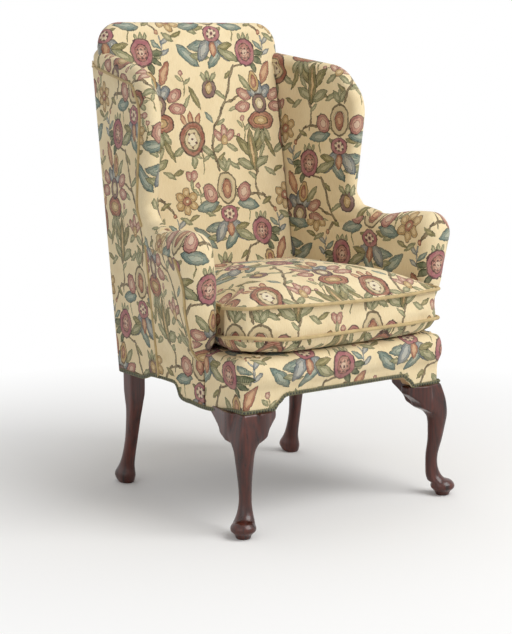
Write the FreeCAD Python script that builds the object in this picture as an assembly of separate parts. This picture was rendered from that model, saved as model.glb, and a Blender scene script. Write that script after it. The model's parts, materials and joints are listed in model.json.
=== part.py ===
"""Wing armchair: walnut cabriole legs, beech seat and back frame, upholstery over it
and a loose T-shaped seat cushion.

The chair faces -Y and stands on z = 0. While it is drawn, y = 0 runs through the
middle of both front feet. The last lines shift everything so that the origin lies
under the middle of the chair. Right-hand pieces are drawn and then mirrored in x = 0.
"""
import FreeCAD, Part
import math
import os

V = FreeCAD.Vector

# Overall sizes
CREST_HEIGHT = 1180.0      # floor to the top of the back
ARM_HEIGHT = 706.0         # floor to the top of the arm
WING_HEIGHT = 1110.0       # floor to the wing's top edge at the back
DECK_HEIGHT = 414.0        # floor to the stuffed platform under the cushion
RAIL_TOP = 380.0           # top of the seat rails
RAIL_BASE = 298.0          # lower edge of the upholstery at the back corners
FRONT_WIDTH = 604.0        # over the covered front rail
REAR_WIDTH = 580.0         # over the covered sides at the rear seat corners
CREST_WIDTH = 552.0        # over the back at the crest
SEAT_LENGTH = 562.0        # front cover to rear cover at the lower edge
FRONT_FACE = 10.0          # front cover behind the middle of the front feet
BACK_RAKE = 9.5            # degrees
INSIDE_WIDTH = 512.0       # between the wings at the inside back

# Cloth, stuffing and wood sections
COVER = 5.0                # cloth, canvas and wadding over bare wood
SEAM = 0.3                 # clearance between curved soft pieces
POST = 43.0                # square head of the back leg and post
BLOCK = 52.0               # square head of the front leg
RAIL = 30.0                # thickness of the seat rails
BACK_STUFFING = 20.0       # stuffing in front of the back posts
WING_STUFFING = 14.0       # stuffing on the inner side of the wing frame
WING_BACK = 5.0            # the same where the wing meets the back
ARM_STUFFING = 0.42        # inner stuffing as a share of the arm's own width
TENON = 12.0               # thickness of the seat rail tenons
TENON_LENGTH = 22.0
TENON_HEIGHT = 42.0
WING_ROLL = 22.0           # radius of the wing's rolled edge
CREST_ROLL = 30.5          # radius of the crest's roll
CREST_CORNER = 63.0        # outer radius of the crest's corners

# Arms: plan of the upright front roll at several heights
SEAM_DEPTH = 372.0         # upright seam between the arm and the wing
ARM_FOOT = (182.0, 8.0)    # centre y and radius where the roll dies into the side
ARM_FRONT = [              # height, centre x, centre y, radius
    (405.0, 299.0, 184.0, 18.0),
    (425.0, 309.0, 172.0, 26.0),
    (450.0, 326.0, 143.0, 30.0),
    (480.0, 339.0, 127.0, 34.0),
    (520.0, 349.0, 119.0, 37.0),
    (580.0, 354.0, 114.0, 40.0),
]
ARM_TOP = (650.0, 367.0, 120.0, 48.0)
ARM_WING_X = 337.0         # outer side of the arm and wing at the seam, arm height
SEAT_SPREAD = 18.0         # arms stand wider apart at the seam than at the back

# Front roll and the shaped lower edges
ROLL_BULGE = 18.0          # how far the front roll stands before the rail cover
ROLL_EDGE = 35.0           # rounding along the top of the front and side borders
WRAP_LENGTH = 160.0        # front border carried back along each side
FRONT_ARCH = 317.0         # lower edge in the middle of the front
SIDE_ARCH = 312.0          # lower edge in the middle of the sides
KNEE_EDGE = 288.0          # lower edge over the knees
SIDE_DROP = 275.0          # lowest part of the side edge, behind the knee
TRIM_HEIGHT = 11.0
TRIM_THICKNESS = 2.5

# Front legs, measured along the outward diagonal from the middle of the foot
FOOT_X = 312.0
PAD_RADIUS = 31.0
LEG_STATIONS = [           # height, outer reach, inner reach, corner radius
    (250.0, 4.0, -88.0, 9.0),
    (222.0, 8.0, -62.0, 14.0),
    (203.0, 8.0, -44.0, 17.0),
    (170.0, 2.0, -41.0, 18.0),
    (140.0, -4.0, -41.0, 17.0),
    (105.0, -13.0, -45.0, 15.0),
    (75.0, -13.0, -45.0, 15.0),
    (50.0, -3.0, -44.0, 18.0),
    (34.0, 16.0, -38.0, 25.0),
]
KNEE_TOP = -9.0            # outer reach of the knee under the cover
FRONT_BRACKET = 97.0       # knee bracket along the front, from the corner
SIDE_BRACKET = 143.0       # knee bracket along the side, from the corner
BRACKET_DROP = 72.0        # brackets below the cover's knee edge

# Back legs
BACK_FOOT_X = 271.0
BACK_LEG_STATIONS = [      # height, centre y, half depth, half width, corner radius
    (242.0, 543.0, 21.0, 21.0, 3.0),
    (205.0, 543.0, 18.0, 18.0, 7.0),
    (165.0, 548.0, 16.6, 16.6, 10.0),
    (116.0, 555.0, 16.0, 16.0, 13.0),
    (73.0, 566.0, 16.8, 16.4, 13.0),
    (46.0, 575.0, 22.0, 17.0, 14.0),
    (30.0, 581.0, 29.0, 20.0, 17.0),
    (16.0, 582.5, 31.0, 22.0, 19.0),
    (0.0, 577.0, 22.0, 18.0, 16.0),
]

# Loose cushion
CUSHION_FRONT = -14.0      # middle of the front edge
CUSHION_REAR = 516.0
CUSHION_HALF = 298.0       # half width at the front corners
EAR_HALF = 314.0           # half width over the ears
EAR_DEPTH = 76.0           # y where the ears turn in behind the front corners
CUSHION_WAIST = 284.0      # half width between the arms, behind the ears
CUSHION_TAIL = 245.0       # half width at the back
BOX_LOW = 455.0            # height of the lower welt
BOX_HIGH = 528.0           # height of the upper welt
CROWN = 60.0               # crown above the upper welt
WELT = 4.5                 # radius of the welts

# Frame members
CORE_PLAY = 0.2            # play between bare wood and what is tacked over it
WEB_WIDTH = 50.0
WEB_THICKNESS = 2.0
CRATE = 26.0               # thickness of arm and wing frame members
CREST_RAIL_DROP = 62.0     # crest rail's lower edge below the middle of its roll
ARM_RAIL_DROP = 94.0       # arm rail's lower edge below the top of the arm
WING_RAIL_DROP = 110.0     # wing rail's lower edge below the top of the wing

TAN = math.tan(math.radians(BACK_RAKE))
HALF_FRONT = FRONT_WIDTH / 2.0
HALF_REAR = REAR_WIDTH / 2.0
HALF_CREST = CREST_WIDTH / 2.0
HALF_INSIDE = INSIDE_WIDTH / 2.0
REAR_FACE = FRONT_FACE + SEAT_LENGTH
WOOD_X = HALF_FRONT - COVER
ARM_FOOT_Y, ARM_FOOT_R = ARM_FOOT
WOOD_Y = FRONT_FACE + COVER
BLOCK_IN = WOOD_X - BLOCK
BLOCK_BACK = WOOD_Y + BLOCK
BACK_LEG_X = HALF_REAR - COVER - POST / 2.0
BACK_LEG_Y = REAR_FACE - COVER - POST / 2.0 - 2.0
POST_FRONT = BACK_LEG_Y - POST / 2.0
FAR = 900.0


def box(x0, x1, y0, y1, z0, z1):
    """Box between two opposite corners."""
    return Part.makeBox(x1 - x0, y1 - y0, z1 - z0, V(x0, y0, z0))


def rounded(points, radius, closed=True):
    """Wire through the points, each corner rounded by a tangent arc of the radius.

    A point may carry a fourth number, its own corner radius.
    """
    spots = [V(p[0], p[1], p[2]) for p in points]
    radii = [p[3] if len(p) > 3 else radius for p in points]
    count = len(spots)
    edges = []
    starts = []
    for i in range(count):
        here = spots[i]
        if not closed and i in (0, count - 1):
            starts.append((here, here, None))
            continue
        before = (spots[i - 1] - here)
        after = (spots[(i + 1) % count] - here)
        half = before.getAngle(after) / 2.0
        cut = radii[i] / math.tan(half)
        before.normalize()
        after.normalize()
        if radii[i] <= 0.0 or half > math.radians(89.5):
            starts.append((here, here, None))
            continue
        bisector = before + after
        bisector.normalize()
        middle = here + bisector * (radii[i] / math.sin(half) - radii[i])
        starts.append((here + before * cut, here + after * cut, middle))
    for i in range(count):
        first, last, middle = starts[i]
        if middle is not None:
            edges.append(Part.Arc(first, middle, last).toShape())
        if i == count - 1 and not closed:
            break
        following = starts[(i + 1) % count][0]
        if (following - last).Length > 1e-4:
            edges.append(Part.LineSegment(last, following).toShape())
    return Part.Wire(edges)


def prism(points, along, radius=0.0):
    """Solid swept from a rounded outline along a vector."""
    return Part.Face(rounded(points, radius)).extrude(along)


def stack(rings):
    """Solid through closed outlines with the same count of corners, in flat faces.

    A twisted patch is folded along the diagonal that lies further out from x = 0.
    """
    faces = [Part.Face(ringed(rings[0])), Part.Face(ringed(rings[-1]))]
    for low, high in zip(rings, rings[1:]):
        for k in range(len(low)):
            a, b, c, d = low[k - 1], low[k], high[k], high[k - 1]
            normal = (b - a).cross(c - a)
            if abs((d - a).dot(normal)) < 1e-6 * normal.Length:
                faces.append(Part.Face(ringed([a, b, c, d])))
            elif abs(b.x + d.x) > abs(a.x + c.x):
                faces.append(Part.Face(ringed([a, b, d])))
                faces.append(Part.Face(ringed([b, c, d])))
            else:
                faces.append(Part.Face(ringed([a, b, c])))
                faces.append(Part.Face(ringed([a, c, d])))
    solid = Part.makeSolid(Part.makeShell(faces))
    if solid.Volume < 0.0:
        solid.reverse()
    return solid


def ringed(spots):
    """Closed outline through the spots."""
    return Part.makePolygon(spots + spots[:1])


def quad_loft(levels):
    """Solid through levels of plan points, each level a height and its corners."""
    return stack([[V(x, y, z) for x, y in spots] for z, spots in levels])


def tube(path, radius, sides):
    """Tube of flat faces along a line of spots, mitred at each of them."""
    heading = (path[1] - path[0]).normalize()
    circle = Part.makeCircle(radius, path[0], heading)
    ring = [circle.valueAt(2.0 * math.pi * k / sides) for k in range(sides)]
    rings = [ring]
    for i in range(1, len(path)):
        heading = (path[i] - path[i - 1]).normalize()
        onward = heading
        if i + 1 < len(path):
            onward = (path[i + 1] - path[i]).normalize()
        plane = heading + onward
        ring = [p + heading * ((path[i] - p).dot(plane) / heading.dot(plane)) for p in ring]
        rings.append(ring)
    return stack(rings)


def chorded(points, steps, closed=True):
    """Spots along an outline like rounded(), each arc drawn as short chords.

    Steps is the count of chords in every rounded corner.
    """
    count = len(points)
    spots = [V(p[0], p[1], p[2]) for p in points]
    found = []
    for i, here in enumerate(spots):
        radius = points[i][3] if len(points[i]) > 3 else 0.0
        if radius <= 0.0 or (not closed and i in (0, count - 1)):
            found.append(here)
            continue
        before = (spots[i - 1] - here).normalize()
        after = (spots[(i + 1) % count] - here).normalize()
        half = before.getAngle(after) / 2.0
        centre = here + (before + after).normalize() * (radius / math.sin(half))
        first = here + before * (radius / math.tan(half)) - centre
        last = here + after * (radius / math.tan(half)) - centre
        sweep = first.getAngle(last)
        for k in range(steps + 1):
            t = k / float(steps)
            share = (math.sin((1.0 - t) * sweep), math.sin(t * sweep))
            found.append(centre + (first * share[0] + last * share[1]) / math.sin(sweep))
    return found


def eased(rows, parts):
    """Rows of numbers with more rows between them, on a smooth curve."""
    found = []
    for i in range(len(rows) - 1):
        a, b = rows[i], rows[i + 1]
        before, after = rows[max(i - 1, 0)], rows[min(i + 2, len(rows) - 1)]
        for k in range(parts):
            t = k / float(parts)
            row = []
            for p, q, r, u in zip(before, a, b, after):
                bend = (2 * q + (r - p) * t + (2 * p - 5 * q + 4 * r - u) * t ** 2
                        + (3 * q - p - 3 * r + u) * t ** 3)
                row.append(bend / 2.0)
            found.append(tuple(row))
    return found + [tuple(rows[-1])]


def one(shape):
    """The single solid of a result, or its largest one where a sliver came with it."""
    return max(shape.Solids, key=lambda s: s.Volume)


def cut(shape, *tools):
    """Shape less the tools, as one solid."""
    for tool in tools:
        shape = shape.cut(tool)
    return one(shape)


def mirrored(shape):
    """The left-hand twin of a right-hand piece."""
    return shape.mirror(V(0, 0, 0), V(1, 0, 0))


def both(shape):
    """A right-hand piece with its twin."""
    return shape.fuse(mirrored(shape))


def mix(a, b, t):
    """Value between a and b."""
    return a + (b - a) * t


def rise_y(z):
    """Rear face of the raked back at a height."""
    return REAR_FACE + TAN * (z - RAIL_BASE)


def rear_x(z):
    """Outer side at the rear corner, narrowing towards the crest."""
    share = (z - RAIL_BASE) / (CREST_HEIGHT - RAIL_BASE)
    return mix(HALF_REAR, HALF_CREST, max(share, 0.0))


def post_front_y(z):
    """Front of the back posts at a height, where arms and wings end."""
    return rise_y(z) - COVER - 2.0 - POST


def side_x(y):
    """Outer side of the covered seat rail."""
    return mix(HALF_FRONT, HALF_REAR, (y - FRONT_FACE) / SEAT_LENGTH)


ARM_FRONT.insert(0, (RAIL_TOP + 0.4, side_x(ARM_FOOT_Y) - ARM_FOOT_R, ARM_FOOT_Y, ARM_FOOT_R))


def seam_x(z):
    """Outer side along the upright seam between arm and wing."""
    low = side_x(SEAM_DEPTH)
    share = (z - RAIL_BASE) / (ARM_HEIGHT - RAIL_BASE)
    return mix(low, ARM_WING_X, min(max(share, 0.0), 1.0))


def inner_seam_x(z):
    """Inner side of the arm and wing along the same seam."""
    share = (z - RAIL_TOP) / (ARM_HEIGHT - RAIL_TOP)
    low = HALF_INSIDE + SEAT_SPREAD
    high = ARM_WING_X - 2.0 * WING_ROLL + 2.0
    return mix(low, high, min(max(share, 0.0), 1.0))


def heights(low, high):
    """Common heights of the side forms between two limits."""
    grid = [mix(RAIL_BASE, ARM_HEIGHT, k / 6.0) for k in range(7)]
    grid += [mix(ARM_HEIGHT, WING_HEIGHT, k / 5.0) for k in range(1, 5)]
    return [low] + [z for z in grid if low + 2.0 < z < high - 2.0] + [high]


# The back's own frame: x across, w up the rake, n forward from the rear face
def raked(shape):
    """Lean a shape drawn upright on the seat's rear line back to the rake."""
    leaned = shape.copy()
    leaned.rotate(V(0, 0, 0), V(1, 0, 0), -BACK_RAKE)
    leaned.translate(V(0, REAR_FACE, RAIL_BASE))
    return leaned


LEAN = math.cos(math.radians(BACK_RAKE))
POST_N = (COVER + 2.0 + POST) * LEAN
CREST_W = (CREST_HEIGHT - RAIL_BASE - CREST_ROLL - TAN * LEAN * CREST_ROLL) / LEAN + CREST_ROLL
BACK_DEPTH = POST_N + BACK_STUFFING

parts = {}


def pair(name, shape):
    """Keep a right-hand piece and its left-hand twin."""
    parts[name + "_right"] = shape
    parts[name + "_left"] = mirrored(shape)


# Front legs
def leg_square(z, outer, inner, radius):
    """Rounded square on the leg's diagonal."""
    middle = (outer + inner) / 2.0 / math.sqrt(2.0)
    reach = (outer - inner) / 2.0
    radius = min(radius, 0.98 * reach)
    half = (reach - radius) / math.sqrt(2.0) + radius
    cx = FOOT_X + middle
    cy = -middle
    corners = [(cx - half, cy - half, z, radius), (cx + half, cy - half, z, radius),
               (cx + half, cy + half, z, radius), (cx - half, cy + half, z, radius)]
    return chorded(corners, 3)


knee_inner = -math.sqrt(2.0) * (FOOT_X - BLOCK_IN)
leg_rows = [(KNEE_EDGE, KNEE_TOP, knee_inner + 4.0, 4.0)] + LEG_STATIONS
shaft = stack([leg_square(*row) for row in eased(leg_rows, 2)])
head = box(BLOCK_IN, WOOD_X, WOOD_Y, BLOCK_BACK, KNEE_EDGE, RAIL_TOP)
foot_profile = chorded([(18, 0, 0), (19, 0, 9, 3), (PAD_RADIUS, 0, 19, 4), (PAD_RADIUS, 0, 28, 5),
                        (22, 0, 38, 5), (12, 0, 41)], 2, False)
foot = stack([[V(FOOT_X + p.x * math.cos(math.pi * k / 11), p.x * math.sin(math.pi * k / 11), p.z)
               for k in range(22)] for p in foot_profile])
front_leg = one(shaft.fuse([head, foot]))

# Knee brackets: stepped outline, bulging towards the knee
def bracket_outline(length):
    """Stepped lower outline of a bracket, as reach from the corner and height."""
    k = length / FRONT_BRACKET
    low = KNEE_EDGE - BRACKET_DROP
    return [(0, KNEE_EDGE), (length, KNEE_EDGE), (length, KNEE_EDGE - 19, 4),
            (length - 19 * k, KNEE_EDGE - 33, 8), (length - 31 * k, KNEE_EDGE - 43, 5),
            (length - 38 * k, KNEE_EDGE - 58, 6), (length - 61 * k, low + 3, 8), (0, low)]


def bracket(length):
    """Bracket along the front rail, before the leg is taken out of it."""
    rows = bracket_outline(length)
    side = [(HALF_FRONT - r[0], -60, r[1]) + tuple(r[2:]) for r in rows]
    plan = [(HALF_FRONT, -7, 0), (HALF_FRONT - 55, -6, 0, 60),
            (HALF_FRONT - length, WOOD_Y, 0), (HALF_FRONT - length, WOOD_Y + RAIL, 0),
            (HALF_FRONT, WOOD_Y + RAIL, 0)]
    solid = prism(side, V(0, 200, 0)).common(prism(plan, V(0, 0, 600)))
    return solid


def across_diagonal(shape):
    """Swap the front run for the side run, about the leg's own diagonal."""
    swapped = shape.copy()
    swapped = swapped.mirror(V(FOOT_X, 0, 0), V(1, 1, 0))
    return swapped


front_bracket = cut(bracket(FRONT_BRACKET), front_leg)
front_bracket = cut(front_bracket, box(WOOD_X - 30, FAR, -FAR, FAR, 0, FAR))
side_bracket = across_diagonal(cut(bracket(SIDE_BRACKET), across_diagonal(front_leg)))
side_bracket = cut(side_bracket, box(-FAR, FAR, -FAR, WOOD_Y + 30, 0, FAR), front_bracket)
pair("knee_bracket_front", front_bracket)
pair("knee_bracket_side", side_bracket)


# Lower edges
def front_edge(lift):
    """Everything below the front's shaped lower edge, as a prism through the front."""
    half = [(FAR, KNEE_EDGE + lift), (HALF_FRONT - 50, KNEE_EDGE + lift - 2, 30),
            (HALF_FRONT - 91, KNEE_EDGE + lift - 1, 8),
            (HALF_FRONT - 101, KNEE_EDGE + lift + 15, 5),
            (HALF_FRONT - 118, FRONT_ARCH + lift, 18)]
    rest = [(-p[0], p[1]) + tuple(p[2:]) for p in reversed(half)]
    outline = [(FAR, 0)] + half + rest + [(-FAR, 0)]
    points = [(p[0], -100, p[1]) + tuple(p[2:]) for p in outline]
    return prism(points, V(0, 200 + WOOD_Y + RAIL - 50, 0))


def side_edge(lift):
    """Everything below the sides' shaped lower edge, as a prism through both sides."""
    step = FRONT_FACE + SEAT_LENGTH / 2.0
    outline = [(-200, 0), (-200, KNEE_EDGE + lift), (FRONT_FACE + 30, KNEE_EDGE + lift, 60),
               (FRONT_FACE + 150, SIDE_DROP + lift - 3, 30), (step - 28, SIDE_DROP + lift, 12),
               (step - 4, SIDE_DROP + lift + 10, 6), (step + 8, SIDE_ARCH + lift, 14),
               (step + 112, SIDE_ARCH + lift, 20), (step + 155, RAIL_BASE + lift, 30),
               (FAR, RAIL_BASE + lift), (FAR, 0)]
    points = [(-400, p[0], p[1]) + tuple(p[2:]) for p in outline]
    return prism(points, V(800, 0, 0))


# Seat rails, tenoned into the leg heads
rail_mid_y = WOOD_Y + RAIL / 2.0
tenon_z0 = (RAIL_TOP + FRONT_ARCH) / 2.0 - TENON_HEIGHT / 2.0


def tenon_box(x0, x1, y0, y1):
    """Tenon of the seat rails at their common height."""
    return box(x0, x1, y0, y1, tenon_z0, tenon_z0 + TENON_HEIGHT)


front_rail = box(-BLOCK_IN, BLOCK_IN, WOOD_Y, WOOD_Y + RAIL, KNEE_EDGE, RAIL_TOP)
front_rail = cut(front_rail, front_edge(4.0))
front_tenon = tenon_box(0, BLOCK_IN + TENON_LENGTH, rail_mid_y - TENON / 2, rail_mid_y + TENON / 2)
front_rail = one(front_rail.fuse([front_tenon, mirrored(front_tenon)]))


def rail_x(y):
    """Outer face of the side rail."""
    return side_x(y) - COVER


def angled(y0, y1, out0, out1, z0, z1):
    """Prism following the side rail's line between two distances inside its face."""
    pts = [(rail_x(y0) - out0, y0, z0), (rail_x(y1) - out0, y1, z0),
           (rail_x(y1) - out1, y1, z0), (rail_x(y0) - out1, y0, z0)]
    return prism(pts, V(0, 0, z1 - z0))


side_rail = angled(BLOCK_BACK, POST_FRONT, 0, RAIL, SIDE_DROP, RAIL_TOP)
side_rail = cut(side_rail, side_edge(4.0))
side_mid = RAIL / 2.0
side_tenon = angled(BLOCK_BACK - TENON_LENGTH, POST_FRONT + TENON_LENGTH,
                    side_mid - TENON / 2, side_mid + TENON / 2,
                    tenon_z0, tenon_z0 + TENON_HEIGHT)
side_rail = one(side_rail.fuse(side_tenon))
side_rail = cut(side_rail, side_bracket)
pair("side_rail", side_rail)
parts["front_rail"] = cut(front_rail, both(front_bracket))
front_leg = cut(front_leg, front_rail, side_rail)
pair("front_leg", front_leg)

# Back legs, scarfed to the posts above the rail
def leg_section(z, cy, deep, wide, radius):
    """Rounded rectangle of the back leg at a height."""
    share = 1.0 - z / BACK_LEG_STATIONS[0][0]
    cx = mix(BACK_LEG_X, BACK_FOOT_X, max(share, 0.0))
    corners = [(cx - wide, cy - deep, z, radius), (cx + wide, cy - deep, z, radius),
               (cx + wide, cy + deep, z, radius), (cx - wide, cy + deep, z, radius)]
    return chorded(corners, 3)


leg_rows = [(RAIL_BASE - 20, BACK_LEG_Y, POST / 2, POST / 2, 2.0)] + BACK_LEG_STATIONS
back_shaft = stack([leg_section(*row) for row in eased(leg_rows, 2)])
post_x0 = BACK_LEG_X - POST / 2
post_x1 = BACK_LEG_X + POST / 2
SCARF_LOW = RAIL_TOP + 12.0
SCARF_HIGH = RAIL_TOP + 72.0
scarf = [(0, POST_FRONT, RAIL_BASE - 20), (0, POST_FRONT + POST, RAIL_BASE - 20),
         (0, POST_FRONT + POST, SCARF_LOW), (0, POST_FRONT, SCARF_LOW)]
back_head = prism([(post_x0, p[1], p[2]) for p in scarf], V(POST, 0, 0))
leg_and_head = back_head.fuse(back_shaft)

# Back posts follow the rake above the leg heads
def raked_box(x0, x1, n0, n1, w0, w1):
    """Box in the back's own frame."""
    return raked(box(x0, x1, -n1, -n0, w0, w1))


post_w1 = CREST_W - CREST_ROLL - CREST_RAIL_DROP


def post_plan(z):
    """Square of the post at a height, narrowing inwards with the side."""
    x1 = rear_x(z) - COVER
    y1 = rise_y(z) - COVER - 2.0
    return [(x1 - POST, y1 - POST), (x1, y1 - POST), (x1, y1), (x1 - POST, y1)]


post_top = RAIL_BASE + post_w1 * LEAN
raked_post = quad_loft([(SCARF_LOW, post_plan(SCARF_LOW)), (post_top, post_plan(post_top))])
wedge = prism([(0, POST_FRONT - 1, SCARF_LOW), (0, rise_y(SCARF_LOW), SCARF_LOW),
               (0, rise_y(SCARF_HIGH), SCARF_HIGH)], V(FAR, 0, 0))
back_leg = one(leg_and_head.fuse(raked_post.common(wedge)))
back_post = cut(raked_post, wedge)

rear_y0 = POST_FRONT + POST - RAIL
back_rail = box(-post_x0, post_x0, rear_y0, rear_y0 + RAIL, RAIL_BASE + 4, RAIL_TOP)
rear_tenon = tenon_box(0, post_x0 + TENON_LENGTH, rear_y0 + RAIL / 2 - TENON / 2,
                       rear_y0 + RAIL / 2 + TENON / 2)
back_rail = one(back_rail.fuse([rear_tenon, mirrored(rear_tenon)]))
back_rail = cut(back_rail, side_rail, mirrored(side_rail))
parts["back_rail"] = back_rail
back_leg = cut(back_leg, back_rail, side_rail)
pair("back_leg", back_leg)

# Stay rail between the posts, crest rail over their tops
stay_w = (DECK_HEIGHT + 50.0 - RAIL_BASE) / LEAN
stay_near = COVER + 8.0
stay_half = rear_x(DECK_HEIGHT + 50.0) - COVER - POST
stay_rail = raked_box(-HALF_REAR, HALF_REAR, stay_near, stay_near + 26, stay_w, stay_w + 60)
stay_rail = cut(stay_rail, both(raked_post))
stay_tenon = raked_box(-stay_half - TENON_LENGTH, stay_half + TENON_LENGTH,
                       stay_near + 7, stay_near + 7 + TENON, stay_w + 8, stay_w + 52)
stay_rail = one(stay_rail.fuse(stay_tenon))
parts["stay_rail"] = stay_rail
centre_w = CREST_W - CREST_ROLL
crest_half = HALF_CREST - CREST_ROLL + 10.0
crest_outline = [(-crest_half, -POST_N, post_w1), (crest_half, -POST_N, post_w1),
                 (crest_half, -POST_N, centre_w + 10.0, CREST_CORNER - CREST_ROLL + 10.0),
                 (-crest_half, -POST_N, centre_w + 10.0, CREST_CORNER - CREST_ROLL + 10.0)]
crest_board = prism(crest_outline, V(0, 28.0, 0))
crest_peg = box(crest_half - 16, crest_half - 2, -POST_N + 8, -POST_N + 20, post_w1 - 24, post_w1)
crest_rail = one(raked(crest_board.fuse([crest_peg, mirrored(crest_peg)])))
parts["crest_rail"] = crest_rail
back_post = cut(back_post, stay_rail, crest_rail)
pair("back_post", back_post)

# Corner blocks glued into the frame
block_front = prism([(BLOCK_IN, WOOD_Y + RAIL, 0), (BLOCK_IN, BLOCK_BACK, 0),
                     (rail_x(BLOCK_BACK) - RAIL, BLOCK_BACK, 0),
                     (rail_x(BLOCK_BACK + 40) - RAIL, BLOCK_BACK + 40, 0),
                     (BLOCK_IN - 62, WOOD_Y + RAIL, 0)], V(0, 0, 40))
block_front.translate(V(0, 0, RAIL_TOP - 44))
block_front = cut(block_front, front_leg, side_rail)
pair("seat_block_front", block_front)
block_back = prism([(post_x0, rear_y0, 0), (post_x0, POST_FRONT, 0),
                    (rail_x(POST_FRONT) - RAIL, POST_FRONT, 0),
                    (rail_x(POST_FRONT - 45) - RAIL, POST_FRONT - 45, 0),
                    (post_x0 - 60, rear_y0, 0)], V(0, 0, 40))
block_back.translate(V(0, 0, RAIL_TOP - 44))
block_back = cut(block_back, back_leg, side_rail)
pair("seat_block_back", block_back)


# Arm and side form
def arm_section(z, cx, cy, r, grow, share):
    """Plan of the whole arm at a height: its front roll and both sides.

    The sides stand out by grow and close in on their middle line by share.
    """
    rear_y = post_front_y(z) - SEAM
    outer = [(rear_x(z) + grow, rear_y), (seam_x(z) + grow, SEAM_DEPTH)]
    inner = [(inner_seam_x(z) - grow, SEAM_DEPTH), (HALF_INSIDE - grow, rear_y)]
    for a, b in ((0, 1), (1, 0)):
        middle = (outer[a][0] + inner[b][0]) / 2.0
        outer[a] = (mix(middle, outer[a][0], share), outer[a][1])
        inner[b] = (mix(middle, inner[b][0], share), inner[b][1])
    reach = (r + grow) * share
    return outer, (cx + reach, cy), (cx, cy - reach), (cx - reach, cy), inner


def arm_wire(z, cx, cy, r, grow=0.0, share=1.0):
    """The same plan as an outline, its front a half circle of short chords."""
    outer, right, front, left, inner = arm_section(z, cx, cy, r, grow, share)
    reach = right[0] - cx
    spots = [V(p[0], p[1], z) for p in outer]
    for k in range(9):
        turn = math.pi * k / 8.0
        spots.append(V(cx + reach * math.cos(turn), cy - reach * math.sin(turn), z))
    return spots + [V(p[0], p[1], z) for p in inner]


def roll_stations():
    """Stations over the arm's rolled top, on a quarter of an ellipse."""
    z0, cx, cy, r = ARM_TOP
    rows = []
    for angle in (24, 45, 64, 80):
        a = math.radians(angle)
        rows.append((z0 + (ARM_HEIGHT - z0) * math.sin(a), cx, cy, r, math.cos(a)))
    return rows


def arm_form(grow):
    """Full form of the upholstered arm, widened by a clearance."""
    rows = [s + (grow, 1.0) for s in ARM_FRONT + [ARM_TOP]]
    rows += [(z + grow, cx, cy, r, grow, share) for z, cx, cy, r, share in roll_stations()]
    return stack([arm_wire(*row) for row in rows])


arm_full = arm_form(0.0)

# Wing: a thin leaning slab with a rolled edge along its front and top
WING_LOW = ARM_TOP[0]


def wing_x(y, z, inner):
    """Inner or outer side of the wing at a depth and height."""
    t = (y - SEAM_DEPTH) / (post_front_y(z) - SEAM_DEPTH)
    if inner:
        return mix(inner_seam_x(z), HALF_INSIDE, t)
    return mix(seam_x(z), rear_x(z), t)


def wing_quads(front, gap_front, gap_rear, outer_gap, z0, z1, rear_gap=SEAM):
    """Slab of the wing between its sides, each drawn in by a gap."""
    levels = []
    for z in heights(z0, z1):
        rear = post_front_y(z) - rear_gap
        levels.append((z, [(wing_x(front, z, True) + gap_front, front),
                           (wing_x(front, z, False) - outer_gap, front),
                           (wing_x(rear, z, False) - outer_gap, rear),
                           (wing_x(rear, z, True) + gap_rear, rear)]))
    return quad_loft(levels)


roll_line = [(WING_HEIGHT - WING_ROLL + 4.0, 720.0), (1047.0, 418.0, 75.0),
             (975.0, 358.0, 80.0), (812.0, 378.0, 60.0), (735.0, 388.0, 45.0),
             (690.0, 352.0, 40.0), (676.0, 290.0)]
wing_mid = (wing_x(SEAM_DEPTH, 950, True) + wing_x(SEAM_DEPTH, 950, False)) / 2.0
rear_mid = (HALF_INSIDE + rear_x(950)) / 2.0
slope = (rear_mid - wing_mid) / (rise_y(950) - POST - SEAM_DEPTH)


def on_wing(y, z):
    """Point of the wing's middle plane."""
    return (wing_mid + slope * (y - SEAM_DEPTH), y, z)


def wing_outline(shrink):
    """Prism through the wing inside the roll's line, drawn in by a distance."""
    rows = [(r[1], r[0]) + tuple(r[2:]) for r in roll_line]
    moved = []
    for i, row in enumerate(rows):
        a = rows[max(i - 1, 0)]
        b = rows[min(i + 1, len(rows) - 1)]
        dy, dz = b[0] - a[0], b[1] - a[1]
        norm = math.hypot(dy, dz)
        moved.append((row[0] - shrink * dz / norm, row[1] + shrink * dy / norm) + row[2:])
    outline = moved + [(moved[-1][0], 600.0), (rows[0][0] + 100, 600.0), (rows[0][0] + 100, moved[0][1])]
    points = [(150, p[0], p[1]) + tuple(p[2:]) for p in outline]
    return prism(points, V(300, 0, 0))


path = chorded([on_wing(r[1], r[0]) + tuple(r[2:]) for r in roll_line], 4, False)
wing_edge = tube(path, WING_ROLL, 12)
wing_slab = wing_quads(300.0, 0.5, 0.0, 0.5, WING_LOW, WING_HEIGHT + 30.0).common(wing_outline(0.0))
wing_full = one(wing_slab.fuse(wing_edge.common(box(0, FAR, 0, FAR, WING_LOW, FAR))))

# Outside covers: thin, stretched from the rolls down to the lower edge
cover_low = SIDE_DROP - 10.0


def outer_point(z, y_end):
    """Outer line of the side at a height, from the arm's front to a depth."""
    foot_y = ARM_FOOT_Y - ARM_FOOT_R + SEAM
    base = (side_x(foot_y) - ARM_FOOT_R, foot_y, ARM_FOOT_R)
    stations = [(cover_low - 1.0,) + base, (RAIL_TOP,) + base] + ARM_FRONT[1:] + [ARM_TOP]
    for low, high in zip(stations, stations[1:]):
        if z <= high[0]:
            t = (z - low[0]) / (high[0] - low[0])
            return (mix(low[1] + low[3], high[1] + high[3], t), mix(low[2], high[2], t))
    return (ARM_TOP[1] + ARM_TOP[3], ARM_TOP[2])


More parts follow.
